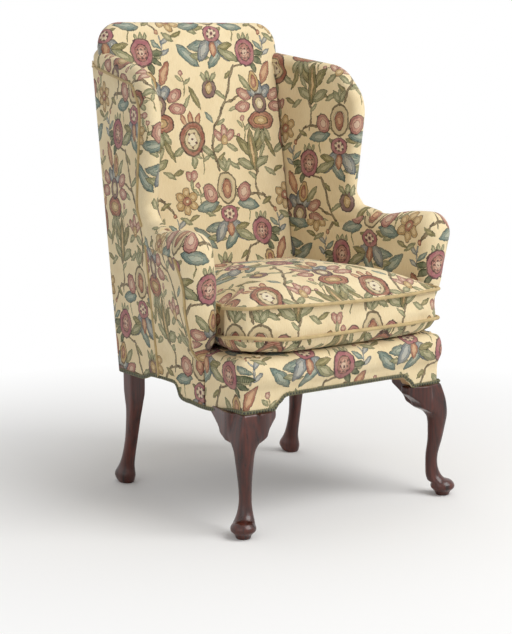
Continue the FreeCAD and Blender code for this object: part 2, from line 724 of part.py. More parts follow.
def arm_cover_loft(outward, inward):
    """Cover of the outer arm between its front roll and the upright seam."""
    heights = [cover_low, RAIL_BASE, RAIL_TOP] + [s[0] for s in ARM_FRONT[1:]] + [ARM_TOP[0] - 8.0]
    levels = []
    for z in heights:
        x, y = outer_point(z, SEAM_DEPTH)
        far = seam_x(z)
        levels.append((z, [(x + outward, y), (far + outward, SEAM_DEPTH - SEAM),
                           (far - inward, SEAM_DEPTH - SEAM), (x - inward, y)]))
    return quad_loft(levels)


def wing_cover_loft(outward, inward):
    """Cover of the side and outer wing, from the seam to the rear corner."""
    levels = []
    for z in [cover_low] + heights(RAIL_BASE, WING_HEIGHT + 30.0):
        y = rise_y(max(z, RAIL_BASE))
        levels.append((z, [(seam_x(z) + outward, SEAM_DEPTH), (rear_x(z) + outward, y),
                           (rear_x(z) - inward, y), (seam_x(z) - inward, SEAM_DEPTH)]))
    return quad_loft(levels)


edge = side_edge(0.0)
arm_cover = cut(arm_cover_loft(0.0, COVER - CORE_PLAY), edge)
wing_cover = one(wing_cover_loft(0.0, COVER - CORE_PLAY).cut(edge))
wing_room = wing_outline(WING_ROLL * 0.9).fuse(box(0, FAR, 0, FAR, 0, 700.0))
wing_room = wing_room.fuse(raked_box(0, FAR, -30, POST_N, -60, post_w1))
wing_cover = one(wing_cover.common(wing_room))

# Cavities for the frame inside arm and wing
def arm_core():
    """Room for the arm's frame between the inner stuffing and the outer cover."""
    levels = []
    for z, cx, cy, r in ARM_FRONT + [(640.0,) + ARM_TOP[1:]]:
        inner = inner_seam_x(z)
        outer = seam_x(z)
        width = outer - inner
        levels.append((z, [(cx - r + 2 * r * ARM_STUFFING, cy + 2.0), (cx + r - COVER, cy + 2.0),
                           (outer - COVER, SEAM_DEPTH + 1), (inner + width * ARM_STUFFING, SEAM_DEPTH + 1)]))
    return quad_loft(levels)


def side_core(z0, z1):
    """Room behind the seam, inside the outer cover."""
    levels = []
    for z in heights(z0, z1):
        rear = post_front_y(z) + 5.0
        inner = inner_seam_x(z)
        width = seam_x(z) - inner
        gap = min(width * ARM_STUFFING, WING_STUFFING + 6.0)
        levels.append((z, [(inner + gap, SEAM_DEPTH - 0.5), (seam_x(z) - COVER, SEAM_DEPTH - 0.5),
                           (rear_x(z) - COVER, rear), (HALF_INSIDE + WING_BACK, rear)]))
    return quad_loft(levels)


outside_arm = arm_cover_loft(40.0, COVER)
outside_wing = wing_cover_loft(40.0, COVER).common(wing_room)
core = arm_core()
low_core = side_core(RAIL_TOP, WING_LOW)
wing_core = wing_quads(SEAM_DEPTH - 4, WING_STUFFING, WING_BACK, COVER, WING_LOW, WING_HEIGHT + 30.0, -5.0)
wing_core = wing_core.common(wing_outline(10.0))

# Back: stuffed inside, crest roll and thin outside cover
crest_path_half = HALF_CREST - CREST_ROLL
roll_w0 = post_w1 + CORE_PLAY
mid_n = BACK_DEPTH - CREST_ROLL - 0.6
crest_points = [(crest_path_half + 1.0, -mid_n, roll_w0),
                (crest_path_half, -mid_n, centre_w, CREST_CORNER - CREST_ROLL),
                (-crest_path_half, -mid_n, centre_w, CREST_CORNER - CREST_ROLL),
                (-crest_path_half - 1.0, -mid_n, roll_w0)]
crest_roll = tube(chorded(crest_points, 5, False), CREST_ROLL, 16)
pad_w0 = (DECK_HEIGHT - 10.0 - RAIL_BASE) / LEAN
pad_outline = [(HALF_INSIDE - SEAM, 0, pad_w0, 4), (HALF_INSIDE - SEAM, 0, roll_w0 + 10, 4),
               (crest_path_half, 0, roll_w0 + 12, 0),
               (crest_path_half, 0, centre_w, CREST_CORNER - CREST_ROLL),
               (-crest_path_half, 0, centre_w, CREST_CORNER - CREST_ROLL),
               (-crest_path_half, 0, roll_w0 + 12, 0),
               (-HALF_INSIDE + SEAM, 0, roll_w0 + 10, 4), (-HALF_INSIDE + SEAM, 0, pad_w0, 4)]
pad = prism([(p[0], -BACK_DEPTH + 0.6, p[2]) + tuple(p[3:]) for p in pad_outline],
            V(0, BACK_STUFFING - 0.6 - CORE_PLAY, 0))
back_full = raked(pad.fuse(crest_roll))
back_sheet = raked(box(-FAR, FAR, -COVER, 30, -60, centre_w + 17.0))
inside_back = cut(back_full, crest_rail, back_sheet)
parts["inside_back"] = inside_back


def rear_plan(z):
    """Thin sheet across the rear at a height, between the side covers."""
    x = rear_x(z) - COVER
    y = rise_y(z) - SEAM
    return [(-x, y - COVER + 1.0), (x, y - COVER + 1.0), (x, y), (-x, y)]


sheet_top = RAIL_BASE + (CREST_W - CREST_ROLL + 18.0) * LEAN
outside_back = quad_loft([(RAIL_BASE, rear_plan(RAIL_BASE)), (sheet_top, rear_plan(sheet_top))])
flap_half = crest_half + 6.0
flap = [(-FAR, 0, -60), (FAR, 0, -60), (FAR, 0, roll_w0 - 0.5), (flap_half, 0, roll_w0 - 0.5),
        (flap_half, 0, centre_w + 16.0, CREST_CORNER - CREST_ROLL + 16.0),
        (-flap_half, 0, centre_w + 16.0, CREST_CORNER - CREST_ROLL + 16.0),
        (-flap_half, 0, roll_w0 - 0.5), (-FAR, 0, roll_w0 - 0.5)]
flap_room = raked(prism([(p[0], -60, p[2]) + tuple(p[3:]) for p in flap], V(0, 120, 0)))
outside_back = cut(one(outside_back.common(flap_room)), inside_back, both(back_post), crest_rail)
parts["outside_back_cover"] = outside_back

wing_cover = cut(wing_cover, back_full)
inside_wing = cut(wing_full, outside_wing, wing_core, back_full, outside_back)
inside_arm = cut(arm_full, outside_arm, outside_wing, core, low_core, wing_full, back_full, back_leg)
pair("inside_wing", inside_wing)
pair("inside_arm", inside_arm)
pair("outside_arm_cover", cut(arm_cover, inside_arm))
pair("outside_wing_cover", cut(wing_cover, inside_wing, inside_arm, outside_back))

# Front border: rail cover with the stuffed roll, carried round both corners
reach = FRONT_FACE + WRAP_LENGTH
top = DECK_HEIGHT + 2.0
corner_x = side_x(FRONT_FACE - ROLL_BULGE)
elevation = [(-corner_x, -60, 240), (corner_x, -60, 240),
             (corner_x, -60, top, ROLL_EDGE), (-corner_x, -60, top, ROLL_EDGE)]
section = [(-FAR, FRONT_FACE, 240), (-FAR, FRONT_FACE, 338, 30),
           (-FAR, FRONT_FACE - ROLL_BULGE, 366, 26), (-FAR, FRONT_FACE - ROLL_BULGE, top, ROLL_EDGE - 4),
           (-FAR, reach, top), (-FAR, reach, 240)]
plan = [(-corner_x, FRONT_FACE - ROLL_BULGE, 0, ROLL_BULGE - 2.0), (-side_x(reach), reach, 0),
        (side_x(reach), reach, 0), (corner_x, FRONT_FACE - ROLL_BULGE, 0, ROLL_BULGE - 2.0)]
border = prism(elevation, V(0, 400, 0)).common(prism(section, V(2 * FAR, 0, 0)))
border = border.common(prism(plan, V(0, 0, 600)))
bare = box(-WOOD_X, WOOD_X, WOOD_Y, FAR, 0, RAIL_TOP)
deck_room = box(-BLOCK_IN - 6, BLOCK_IN + 6, WOOD_Y + RAIL + 14, FAR, 0, FAR)
border = cut(border, bare, deck_room, front_edge(0.0), side_edge(0.0))
arm_room = arm_form(SEAM)
arm_shadow = angled(ARM_FRONT[0][2] - ARM_FRONT[0][3] - SEAM, FAR, -60, 60, 0, RAIL_TOP + 1)
front_border = cut(border, arm_room, mirrored(arm_room), both(arm_shadow))
front_border = cut(front_border, both(front_leg), both(front_bracket), both(side_bracket))
parts["front_border"] = front_border

# Seat platform under the cushion
deck_rear = rise_y(DECK_HEIGHT) - BACK_DEPTH / LEAN - 1.0
deck = box(-HALF_FRONT + 20, HALF_FRONT - 20, WOOD_Y + RAIL + 14.0 + SEAM, deck_rear,
           RAIL_TOP + 2 * WEB_THICKNESS + 1.0, DECK_HEIGHT)
deck = cut(deck, arm_room, mirrored(arm_room), front_border, both(core), both(low_core))
deck = cut(deck, inside_back, both(back_leg), both(back_post))
parts["deck_pad"] = deck


def web(x0, x1, y0, y1, z):
    """One strip of webbing lying at a height."""
    return box(x0, x1, y0, y1, z, z + WEB_THICKNESS)


# Webbing and cloths
def strips():
    """Seat webbing: strips run both ways, the cross strips lying on the others."""
    lengthwise = 5
    crosswise = 4
    front = WOOD_Y + 6
    rear = POST_FRONT + POST - 8
    found = []
    inner = BLOCK_IN - 20
    for i in range(lengthwise):
        x = mix(-inner + WEB_WIDTH / 2, inner - WEB_WIDTH / 2, i / (lengthwise - 1))
        found.append(web(x - WEB_WIDTH / 2, x + WEB_WIDTH / 2, front, rear, RAIL_TOP))
    for i in range(crosswise):
        y = mix(130, 480, i / (crosswise - 1))
        half = rail_x(y) - 6
        found.append(web(-half, half, y - WEB_WIDTH / 2, y + WEB_WIDTH / 2, RAIL_TOP))
    return one(found[0].fuse(found[1:]))


seat_webbing = cut(strips(), front_border, both(inside_arm))
parts["seat_webbing"] = seat_webbing
base_z = RAIL_TOP + WEB_THICKNESS
plan_base = [(rail_x(WOOD_Y + 50) - 16, WOOD_Y + 50, base_z),
             (rail_x(POST_FRONT - 1) - 16, POST_FRONT - 1, base_z),
             (-rail_x(POST_FRONT - 1) + 16, POST_FRONT - 1, base_z),
             (-rail_x(WOOD_Y + 50) + 16, WOOD_Y + 50, base_z)]
seat_base = prism(plan_base, V(0, 0, 1.5))
seat_base = cut(seat_base, front_border, both(inside_arm), deck)
parts["seat_base_cloth"] = seat_base


def back_strips():
    """Back webbing on the front of the posts: upright and cross strips."""
    n0 = POST_N + WEB_THICKNESS
    low = (DECK_HEIGHT + 60 - RAIL_BASE) / LEAN
    high = post_w1 - 4
    found = []
    for i in range(3):
        x = mix(-150, 150, i / 2.0)
        found.append(raked_box(x - WEB_WIDTH / 2, x + WEB_WIDTH / 2, n0 - WEB_THICKNESS, n0, low, high))
    for i in range(5):
        w = mix(low + 60, high - 80, i / 4.0)
        found.append(raked_box(-HALF_INSIDE + 6, HALF_INSIDE - 6, n0 - WEB_THICKNESS, n0,
                               w, w + WEB_WIDTH))
    return one(found[0].fuse(found[1:]))


back_webbing = cut(back_strips(), inside_back, both(back_post), stay_rail, crest_rail)
parts["back_webbing"] = back_webbing
dust_outline = [(rail_x(BLOCK_BACK) - 14, BLOCK_BACK + 4, 0), (rail_x(POST_FRONT) - 12, POST_FRONT - 4, 0),
                (-rail_x(POST_FRONT) + 12, POST_FRONT - 4, 0), (-rail_x(BLOCK_BACK) + 14, BLOCK_BACK + 4, 0)]
dust = prism(dust_outline, V(0, 0, 2.0))
dust.translate(V(0, 0, SIDE_ARCH + 1.0))
dust = cut(dust, both(side_rail), both(block_front), both(block_back), both(side_bracket))
parts["dust_cover"] = dust

# Arm frame: post on the side rail, rail to the wing post
def lofted_bar(rows):
    """Bar through rectangles: height, centre x, centre y, half width, half depth."""
    levels = [(z, [(x - a, y - b), (x + a, y - b), (x + a, y + b), (x - a, y + b)])
              for z, x, y, a, b in rows]
    return quad_loft(levels)


def core_mid(z, cx, r):
    """Middle of the room beside the inner stuffing at the arm's front."""
    return (cx - r + 2 * r * ARM_STUFFING + cx + r - COVER) / 2.0


post_rows = []
for z, cx, cy, r in ARM_FRONT + [(632.0,) + ARM_TOP[1:]]:
    wide = min(2 * r * (1 - ARM_STUFFING) - COVER, CRATE) / 2.0 - CORE_PLAY
    post_rows.append((z, core_mid(z, cx, r), cy + 2.4 + CRATE / 2, wide, CRATE / 2))
post_rows[0] = (RAIL_TOP,) + post_rows[0][1:]
first = post_rows[0]
post_rows[0] = (first[0], rail_x(first[2]) - 12.0, first[2], 10.0, first[4])
post_rows[1] = (post_rows[1][0], rail_x(first[2]) - 6.0) + (post_rows[1][2], 7.0, first[4])
arm_post = lofted_bar(post_rows)
arm_post = cut(arm_post, side_rail, arm_cover, inside_arm)
wing_post_y = SEAM_DEPTH + CRATE / 2 + 4.0
wing_rows = []
for z in (RAIL_TOP, WING_LOW - 2.0, WING_LOW + 2.0, WING_HEIGHT - WING_RAIL_DROP):
    outer = wing_x(wing_post_y + CRATE / 2, z, False) - COVER
    middle = outer - CRATE / 2 + 2.0
    if z == RAIL_TOP:
        middle = rail_x(wing_post_y) - CRATE / 2 + 1.0
    wing_rows.append((z, middle - 1.0, wing_post_y, CRATE / 2 - 3.0, CRATE / 2))
wing_post = lofted_bar(wing_rows)
wing_post = cut(wing_post, wing_cover, inside_wing, inside_arm, side_rail, deck, seat_webbing,
                seat_base)
rail_z = ARM_HEIGHT - ARM_RAIL_DROP
end_x = wing_x(SEAM_DEPTH, rail_z, False) - COVER - CRATE / 2
start_row = post_rows[-1]
arm_rail = prism([(start_row[1] - 10, start_row[2] + start_row[4], rail_z),
                  (start_row[1] + 10, start_row[2] + start_row[4], rail_z),
                  (end_x + 9, wing_post_y - CRATE / 2, rail_z),
                  (end_x - 11, wing_post_y - CRATE / 2, rail_z)], V(0, 0, 20))
arm_rail = cut(arm_rail, arm_cover, inside_arm, wing_cover, wing_post, arm_post)
rail_front = wing_post_y - CRATE / 2
wing_rail_z = WING_HEIGHT - WING_RAIL_DROP
rail_end = post_front_y(wing_rail_z)
wing_rail = prism([(wing_x(rail_front, wing_rail_z, True) + WING_STUFFING + 2, rail_front, wing_rail_z),
                   (wing_x(rail_front, wing_rail_z, False) - COVER - 2, rail_front, wing_rail_z),
                   (rear_x(wing_rail_z) - COVER - 1.5, rail_end, wing_rail_z),
                   (HALF_INSIDE + WING_BACK + 1.0, rail_end, wing_rail_z)], V(0, 0, CRATE))
wing_rail = cut(wing_rail, wing_cover, inside_wing, back_post, inside_back)
pair("arm_post", arm_post)
pair("arm_rail", arm_rail)
pair("wing_post", wing_post)
pair("wing_rail", wing_rail)

# Close-nailed trim along the lower edges
def band(shape_low, shape_high, slab):
    """Strip of a slab between a lower edge and the same edge lifted."""
    return one(slab.cut(shape_low).common(shape_high))


trim_front = band(front_edge(0.0), front_edge(TRIM_HEIGHT),
                  box(-HALF_FRONT, HALF_FRONT, FRONT_FACE - TRIM_THICKNESS, FRONT_FACE, 250, 340))
parts["trim_front"] = cut(trim_front, both(front_leg), both(front_bracket))
trim_levels = []
for z in (cover_low, RAIL_BASE, RAIL_BASE + 60.0):
    line = [(side_x(FRONT_FACE), FRONT_FACE - TRIM_THICKNESS), outer_point(z, SEAM_DEPTH),
            (seam_x(z), SEAM_DEPTH), (rear_x(z), rise_y(max(z, RAIL_BASE)))]
    outside = [(x + TRIM_THICKNESS, y) for x, y in reversed(line)]
    trim_levels.append((z, line + outside))
trim_side = band(side_edge(0.0), side_edge(TRIM_HEIGHT), quad_loft(trim_levels))
trim_side = cut(trim_side, front_border, arm_cover, wing_cover, front_leg, side_bracket)
pair("trim_side", trim_side)
trim_rear_x = HALF_REAR - COVER
trim_back = quad_loft([(z, [(-trim_rear_x, rise_y(z) - SEAM), (trim_rear_x, rise_y(z) - SEAM),
                            (trim_rear_x, rise_y(z) + TRIM_THICKNESS),
                            (-trim_rear_x, rise_y(z) + TRIM_THICKNESS)])
                       for z in (RAIL_BASE, RAIL_BASE + TRIM_HEIGHT)])
parts["trim_back"] = trim_back


# Loose cushion
def cushion_corners():
    """Corners of the T-shaped outline with their rounding."""
    half = [(CUSHION_HALF - 110, CUSHION_FRONT, 260),
            (CUSHION_HALF, CUSHION_FRONT + 20, 24),
            (EAR_HALF, EAR_DEPTH, 14),
            (CUSHION_WAIST + 6, EAR_DEPTH + 36, 16),
            (CUSHION_WAIST - 4, EAR_DEPTH + 130, 0),
            (CUSHION_TAIL, CUSHION_REAR, 34)]
    return half + [(-p[0],) + p[1:] for p in reversed(half)]


def cushion_wire(z, draw):
    """T-shaped outline at a height, drawn in towards the middle by a distance."""
    middle = (CUSHION_FRONT + CUSHION_REAR) / 2.0
    across = 1.0 - draw / EAR_HALF
    along = 1.0 - draw / (CUSHION_REAR - middle)
    points = [(x * across, middle + (y - middle) * along, z, r * min(across, along))
              for x, y, r in cushion_corners()]
    return chorded(points, 3)


def offset_wire(z, gap):
    """The T-shaped outline moved outwards by an even gap."""
    corners = cushion_corners()
    count = len(corners)
    points = []
    for i, (x, y, r) in enumerate(corners):
        before, after = corners[i - 1], corners[(i + 1) % count]
        a = V(x - before[0], y - before[1], 0).normalize()
        b = V(after[0] - x, after[1] - y, 0).normalize()
        turn = a.x * b.y - a.y * b.x
        out = V(a.y + b.y, -a.x - b.x, 0)
        out = out * (gap / (1.0 + a.dot(b)))
        points.append((x + out.x, y + out.y, z, r + math.copysign(gap, turn) if r else 0))
    return chorded(points, 3)


BOTTOM = top + SEAM


def crown_rows(shares):
    """Heights and draws up the crown, for shares of the way to its middle."""
    return [(BOX_HIGH + CROWN * (1.0 - (1.0 - share) ** 2.3), 270.0 * share) for share in shares]


middle_z = (BOX_LOW + BOX_HIGH) / 2.0
outer_rows = [(BOTTOM, 60.0), (mix(BOTTOM, BOX_LOW, 0.4), 24.0), (BOX_LOW, 0.0), (middle_z, 5.0),
              (BOX_HIGH, 0.0)] + crown_rows((0.07, 0.16, 0.3, 0.46, 0.64, 0.82))
inner_rows = [(BOTTOM + 4.0, 66.0), (BOX_LOW, 9.0), (BOX_HIGH - 2.0, 9.0)]
inner_rows += [(z - 4.0, draw + 5.0) for z, draw in crown_rows((0.16, 0.46, 0.82))]
cushion_outer = stack([cushion_wire(*row) for row in outer_rows])
cushion_inner = stack([cushion_wire(*row) for row in inner_rows])


def welt_ring(z):
    """Welt on the outline at a height, standing just outside the cover."""
    levels = [(z - WELT, SEAM + 1.5 * WELT), (z - WELT / 2, SEAM + 2 * WELT),
              (z + WELT / 2, SEAM + 2 * WELT), (z + WELT, SEAM + 1.5 * WELT)]
    body = stack([offset_wire(*level) for level in levels])
    hole = stack([offset_wire(z - 2 * WELT, SEAM), offset_wire(z + 2 * WELT, SEAM)])
    return cut(body, hole)


parts["cushion_cover"] = cut(cushion_outer, cushion_inner)
parts["cushion_filling"] = cushion_inner
parts["cushion_welt_bottom"] = welt_ring(BOX_LOW)
parts["cushion_welt_top"] = welt_ring(BOX_HIGH)

# Write every piece about the middle of the whole chair
if __name__ == "__main__":
    os.makedirs("parts", exist_ok=True)
    whole = Part.makeCompound(list(parts.values())).optimalBoundingBox(False)
    middle_y = (whole.YMin + whole.YMax) / 2.0
    for name, shape in sorted(parts.items()):
        piece = shape.copy()
        piece.translate(V(0, -middle_y, 0))
        piece.exportStep("parts/" + name + ".step")
        print("%-26s volume %10.0f solids %d valid %s" % (
            name, piece.Volume, len(piece.Solids), piece.isValid()))
    print("bounds", whole, "moved by", -middle_y)
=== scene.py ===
"""Looks of the wing armchair: crewelwork upholstery, loose cushion, nailed trim and walnut legs."""

import json
import logging
import math
from dataclasses import dataclass, field
from enum import Enum
from typing import Callable, Iterator, Sequence

import bmesh
import bpy
from mathutils import Matrix, Vector

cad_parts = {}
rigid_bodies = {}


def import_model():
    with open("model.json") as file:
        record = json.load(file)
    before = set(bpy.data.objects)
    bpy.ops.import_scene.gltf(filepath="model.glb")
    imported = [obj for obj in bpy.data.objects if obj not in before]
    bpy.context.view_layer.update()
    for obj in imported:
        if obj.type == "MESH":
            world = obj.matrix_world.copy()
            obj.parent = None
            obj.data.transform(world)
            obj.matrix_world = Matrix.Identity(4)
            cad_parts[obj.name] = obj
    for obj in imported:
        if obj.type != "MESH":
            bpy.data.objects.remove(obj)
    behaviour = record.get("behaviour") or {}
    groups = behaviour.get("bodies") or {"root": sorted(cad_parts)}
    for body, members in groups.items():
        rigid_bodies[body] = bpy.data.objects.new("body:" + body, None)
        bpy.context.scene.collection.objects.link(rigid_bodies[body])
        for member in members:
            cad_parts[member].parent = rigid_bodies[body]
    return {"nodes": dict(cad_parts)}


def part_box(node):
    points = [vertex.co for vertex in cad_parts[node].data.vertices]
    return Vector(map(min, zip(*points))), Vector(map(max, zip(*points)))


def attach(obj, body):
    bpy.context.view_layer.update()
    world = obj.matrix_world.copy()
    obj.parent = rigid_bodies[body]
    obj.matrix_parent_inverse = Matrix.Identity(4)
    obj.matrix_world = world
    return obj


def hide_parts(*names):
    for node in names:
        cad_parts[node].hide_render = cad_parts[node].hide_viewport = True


log = logging.getLogger("armchair")
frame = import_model()

Spot = tuple[float, float, float]
Spot2 = tuple[float, float]

# The drawings below are in millimetres, with y = 0 through the middle of both front feet.
MIDDLE_Y = 342.657


class Side(Enum):
    """The two sides of the chair."""

    RIGHT = 1
    LEFT = -1

    @property
    def word(self) -> str:
        """Ending of the names of this side's pieces."""
        return "right" if self is Side.RIGHT else "left"


def metres(x: float, y: float, z: float) -> Vector:
    """A drawn point in the row frame, in metres."""
    return Vector((x / 1000.0, (y - MIDDLE_Y) / 1000.0, z / 1000.0))


def mix(a: float, b: float, t: float) -> float:
    """Value between a and b."""
    return a + (b - a) * t


def ease(t: float) -> float:
    """Smooth step from 0 to 1, held outside that range."""
    t = min(max(t, 0.0), 1.0)
    return t * t * (3.0 - 2.0 * t)


def along(rows: Sequence[Sequence[float]], z: float) -> list[float]:
    """Row of numbers at a height, on a smooth curve through sorted rows.

    Args:
        rows: Rows whose first number rises.
        z: The height asked for.

    Returns:
        The interpolated numbers without the first.
    """
    if z <= rows[0][0]:
        return list(rows[0][1:])
    if z >= rows[-1][0]:
        return list(rows[-1][1:])
    i = 0
    while rows[i + 1][0] < z:
        i += 1
    a, b = rows[i], rows[i + 1]
    before, after = rows[max(i - 1, 0)], rows[min(i + 2, len(rows) - 1)]
    t = (z - a[0]) / (b[0] - a[0])
    span = b[0] - a[0]
    found = []
    for k in range(1, len(a)):
        m0 = (b[k] - before[k]) / (b[0] - before[0]) * span
        m1 = (after[k] - a[k]) / (after[0] - a[0]) * span
        h = t * t * (3 - 2 * t)
        found.append(a[k] * (1 - h) + b[k] * h
                     + m0 * t * (1 - t) ** 2 - m1 * t * t * (1 - t))
    return found


def rounded(points: Sequence[Sequence[float]], step: float, closed: bool = False) -> list[Spot2]:
    """Evenly stepped spots along a line whose corners are rounded.

    Args:
        points: Corners as (a, b) or (a, b, radius).
        step: Distance between spots.
        closed: Whether the line comes back to its start.

    Returns:
        Spots along the line.
    """
    count = len(points)
    raw: list[Spot2] = []
    for i, p in enumerate(points):
        here = Vector(p[:2])
        radius = p[2] if len(p) > 2 else 0.0
        if radius <= 0 or (not closed and i in (0, count - 1)):
            raw.append((here.x, here.y))
            continue
        before = (Vector(points[i - 1][:2]) - here).normalized()
        after = (Vector(points[(i + 1) % count][:2]) - here).normalized()
        half = before.angle(after) / 2.0
        if half > math.radians(89.3):
            raw.append((here.x, here.y))
            continue
        centre = here + (before + after).normalized() * (radius / math.sin(half))
        first = here + before * (radius / math.tan(half)) - centre
        last = here + after * (radius / math.tan(half)) - centre
        sweep = first.angle(last)
        for k in range(13):
            t = k / 12.0
            spot = centre + (first * math.sin((1 - t) * sweep) + last * math.sin(t * sweep)) / math.sin(sweep)
            raw.append((spot.x, spot.y))
    if closed:
        raw.append(raw[0])
    length = sum(math.dist(a, b) for a, b in zip(raw, raw[1:]))
    parts = max(2, round(length / step))
    found: list[Spot2] = []
    total = length / parts
    walked, want = 0.0, 0.0
    for a, b in zip(raw, raw[1:]):
        gap = math.dist(a, b)
        while gap > 0 and want <= walked + gap + 1e-9 and len(found) < parts:
            t = (want - walked) / gap
            found.append((mix(a[0], b[0], t), mix(a[1], b[1], t)))
            want += total
        walked += gap
    if not closed:
        found.append(raw[-1])
    return found


def headings(spots: Sequence[Spot2]) -> list[tuple[Spot2, Spot2]]:
    """Each point of a line, with the line's unit direction there."""
    found = []
    for i, here in enumerate(spots):
        a, b = spots[max(i - 1, 0)], spots[min(i + 1, len(spots) - 1)]
        gap = math.dist(a, b)
        found.append((here, ((b[0] - a[0]) / gap, (b[1] - a[1]) / gap)))
    return found


def deselect() -> None:
    """Nothing is selected and nothing is active."""
    for other in bpy.context.view_layer.objects.selected[:]:
        other.select_set(False)
    bpy.context.view_layer.objects.active = None


def take(obj: bpy.types.Object) -> None:
    """One object becomes the only one selected, and the active one."""
    deselect()
    obj.select_set(True)
    bpy.context.view_layer.objects.active = obj


def apply_all(obj: bpy.types.Object) -> None:
    """Applies all modifiers of an object."""
    take(obj)
    for modifier in list(obj.modifiers):
        bpy.ops.object.modifier_apply(modifier=modifier.name)


def smooth(obj: bpy.types.Object, degrees: float = 40.0) -> None:
    """Smooth shading, broken at edges sharper than the angle."""
    take(obj)
    bpy.ops.object.shade_smooth_by_angle(angle=math.radians(degrees))


def sealed(obj: bpy.types.Object, gap: float, holes: bool = True) -> None:
    """Joins points closer than the gap, closes the open ends if asked, and points the faces outwards."""
    take(obj)
    bpy.ops.object.mode_set(mode="EDIT")
    bpy.ops.mesh.select_all(action="SELECT")
    bpy.ops.mesh.remove_doubles(threshold=gap)
    if holes:
        bpy.ops.mesh.select_all(action="DESELECT")
        bpy.ops.mesh.select_non_manifold(extend=False)
        bpy.ops.mesh.fill_holes(sides=0)
    bpy.ops.mesh.select_all(action="SELECT")
    bpy.ops.mesh.normals_make_consistent(inside=False)
    bpy.ops.object.mode_set(mode="OBJECT")


def stretched(name: str, rows: int, cols: int,
              place: Callable[[int, int], tuple[Vector, Spot2]]) -> bpy.types.Object:
    """A grid of cloth pulled over a form.

    Args:
        name: Name of the piece.
        rows: Steps up the cloth.
        cols: Steps across the cloth.
        place: Gives the place and the cloth's own coordinates, in metres, of a grid point.

    Returns:
        The new object with its cloth coordinates as a UV map.
    """
    deselect()
    bpy.ops.mesh.primitive_grid_add(x_subdivisions=cols, y_subdivisions=rows, size=1.0)
    obj = bpy.context.object
    obj.name = name
    mesh = obj.data
    mesh.name = name
    spots: dict[int, tuple[Vector, Spot2]] = {}
    for vertex in mesh.vertices:
        i = round((vertex.co.y + 0.5) * rows)
        j = round((vertex.co.x + 0.5) * cols)
        spots[vertex.index] = place(i, j)
    for vertex in mesh.vertices:
        vertex.co = spots[vertex.index][0]
    layer = mesh.uv_layers.active or mesh.uv_layers.new(name="UVMap")
    for loop in mesh.loops:
        layer.data[loop.index].uv = spots[loop.vertex_index][1]
    mesh.update()
    return obj


def turned_out(obj: bpy.types.Object, inside: Vector) -> None:
    """Flips the faces if they look towards a point that lies behind them.

    Args:
        obj: The piece.
        inside: A point behind the faces.
    """
    total = 0.0
    for face in obj.data.polygons:
        total += face.area * face.normal.dot(face.center - inside)
    if total < 0:
        take(obj)
        bpy.ops.object.mode_set(mode="EDIT")
        bpy.ops.mesh.select_all(action="SELECT")
        bpy.ops.mesh.flip_normals()
        bpy.ops.object.mode_set(mode="OBJECT")


def thickened(obj: bpy.types.Object, thickness: float) -> None:
    """Gives a cloth its thickness, inwards."""
    solid = obj.modifiers.new("thickness", "SOLIDIFY")
    solid.thickness = thickness
    solid.offset = -1.0
    apply_all(obj)


def cord_mesh(name: str, path: Sequence[Vector], radius: float, sides: int = 8,
              closed: bool = False) -> bpy.types.Object:
    """A round welt along a path, with its length as its own coordinate.

    Args:
        name: Name of the piece.
        path: Points of its middle line, in metres.
        radius: Radius of the welt, in metres.
        sides: Faces round it.
        closed: Whether it comes back to its start.

    Returns:
        The new object.
    """
    count = len(path)
    frames: list[tuple[Vector, Vector, Vector]] = []
    lengths = [0.0]
    normal = Vector((0.0, 0.0, 1.0))
    for i, here in enumerate(path):
        before = path[i - 1] if (i > 0 or closed) else here
        after = path[(i + 1) % count] if (i + 1 < count or closed) else here
        heading = (after - before).normalized()
        if abs(heading.dot(normal)) > 0.95:
            normal = Vector((0.0, 1.0, 0.0))
        normal = (normal - heading * normal.dot(heading)).normalized()
        frames.append((here, normal.copy(), heading.cross(normal)))
        lengths.append(lengths[-1] + (path[(i + 1) % count] - here).length)
    rows = count if closed else count - 1

    def place(i: int, j: int) -> tuple[Vector, Spot2]:
        """Point of the welt's skin."""
        here, up, across = frames[i % count]
        turn = 2.0 * math.pi * (j % sides) / sides
        spot = here + (up * math.cos(turn) + across * math.sin(turn)) * radius
        return spot, (lengths[i], radius * 2.0 * math.pi * j / sides)

    obj = stretched(name, rows, sides, place)
    sealed(obj, 0.00002, holes=not closed)
    smooth(obj, 60.0)
    return obj


def mirrored(obj: bpy.types.Object, name: str) -> bpy.types.Object:
    """The left-hand twin of a right-hand piece, with its own mesh and the same cloth coordinates.

    Args:
        obj: The piece.
        name: Name of the piece.

    Returns:
        The left-hand piece.
    """
    twin = obj.copy()
    twin.data = obj.data.copy()
    twin.name = name
    twin.data.name = name
    bpy.context.scene.collection.objects.link(twin)
    twin.data.transform(Matrix.Scale(-1.0, 4, Vector((1.0, 0.0, 0.0))))
    twin.data.flip_normals()
    twin.data.update()
    return twin


def both_sides(right: bpy.types.Object, node: str) -> Iterator[tuple[bpy.types.Object, Side]]:
    """A right-hand cloth and its left-hand twin, each on the chair in place of its side's node."""
    left = mirrored(right, right.name.replace("right", "left"))
    for obj, side in ((right, Side.RIGHT), (left, Side.LEFT)):
        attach(obj, "chair")
        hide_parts(f"{node}_{side.word}")
        yield obj, side


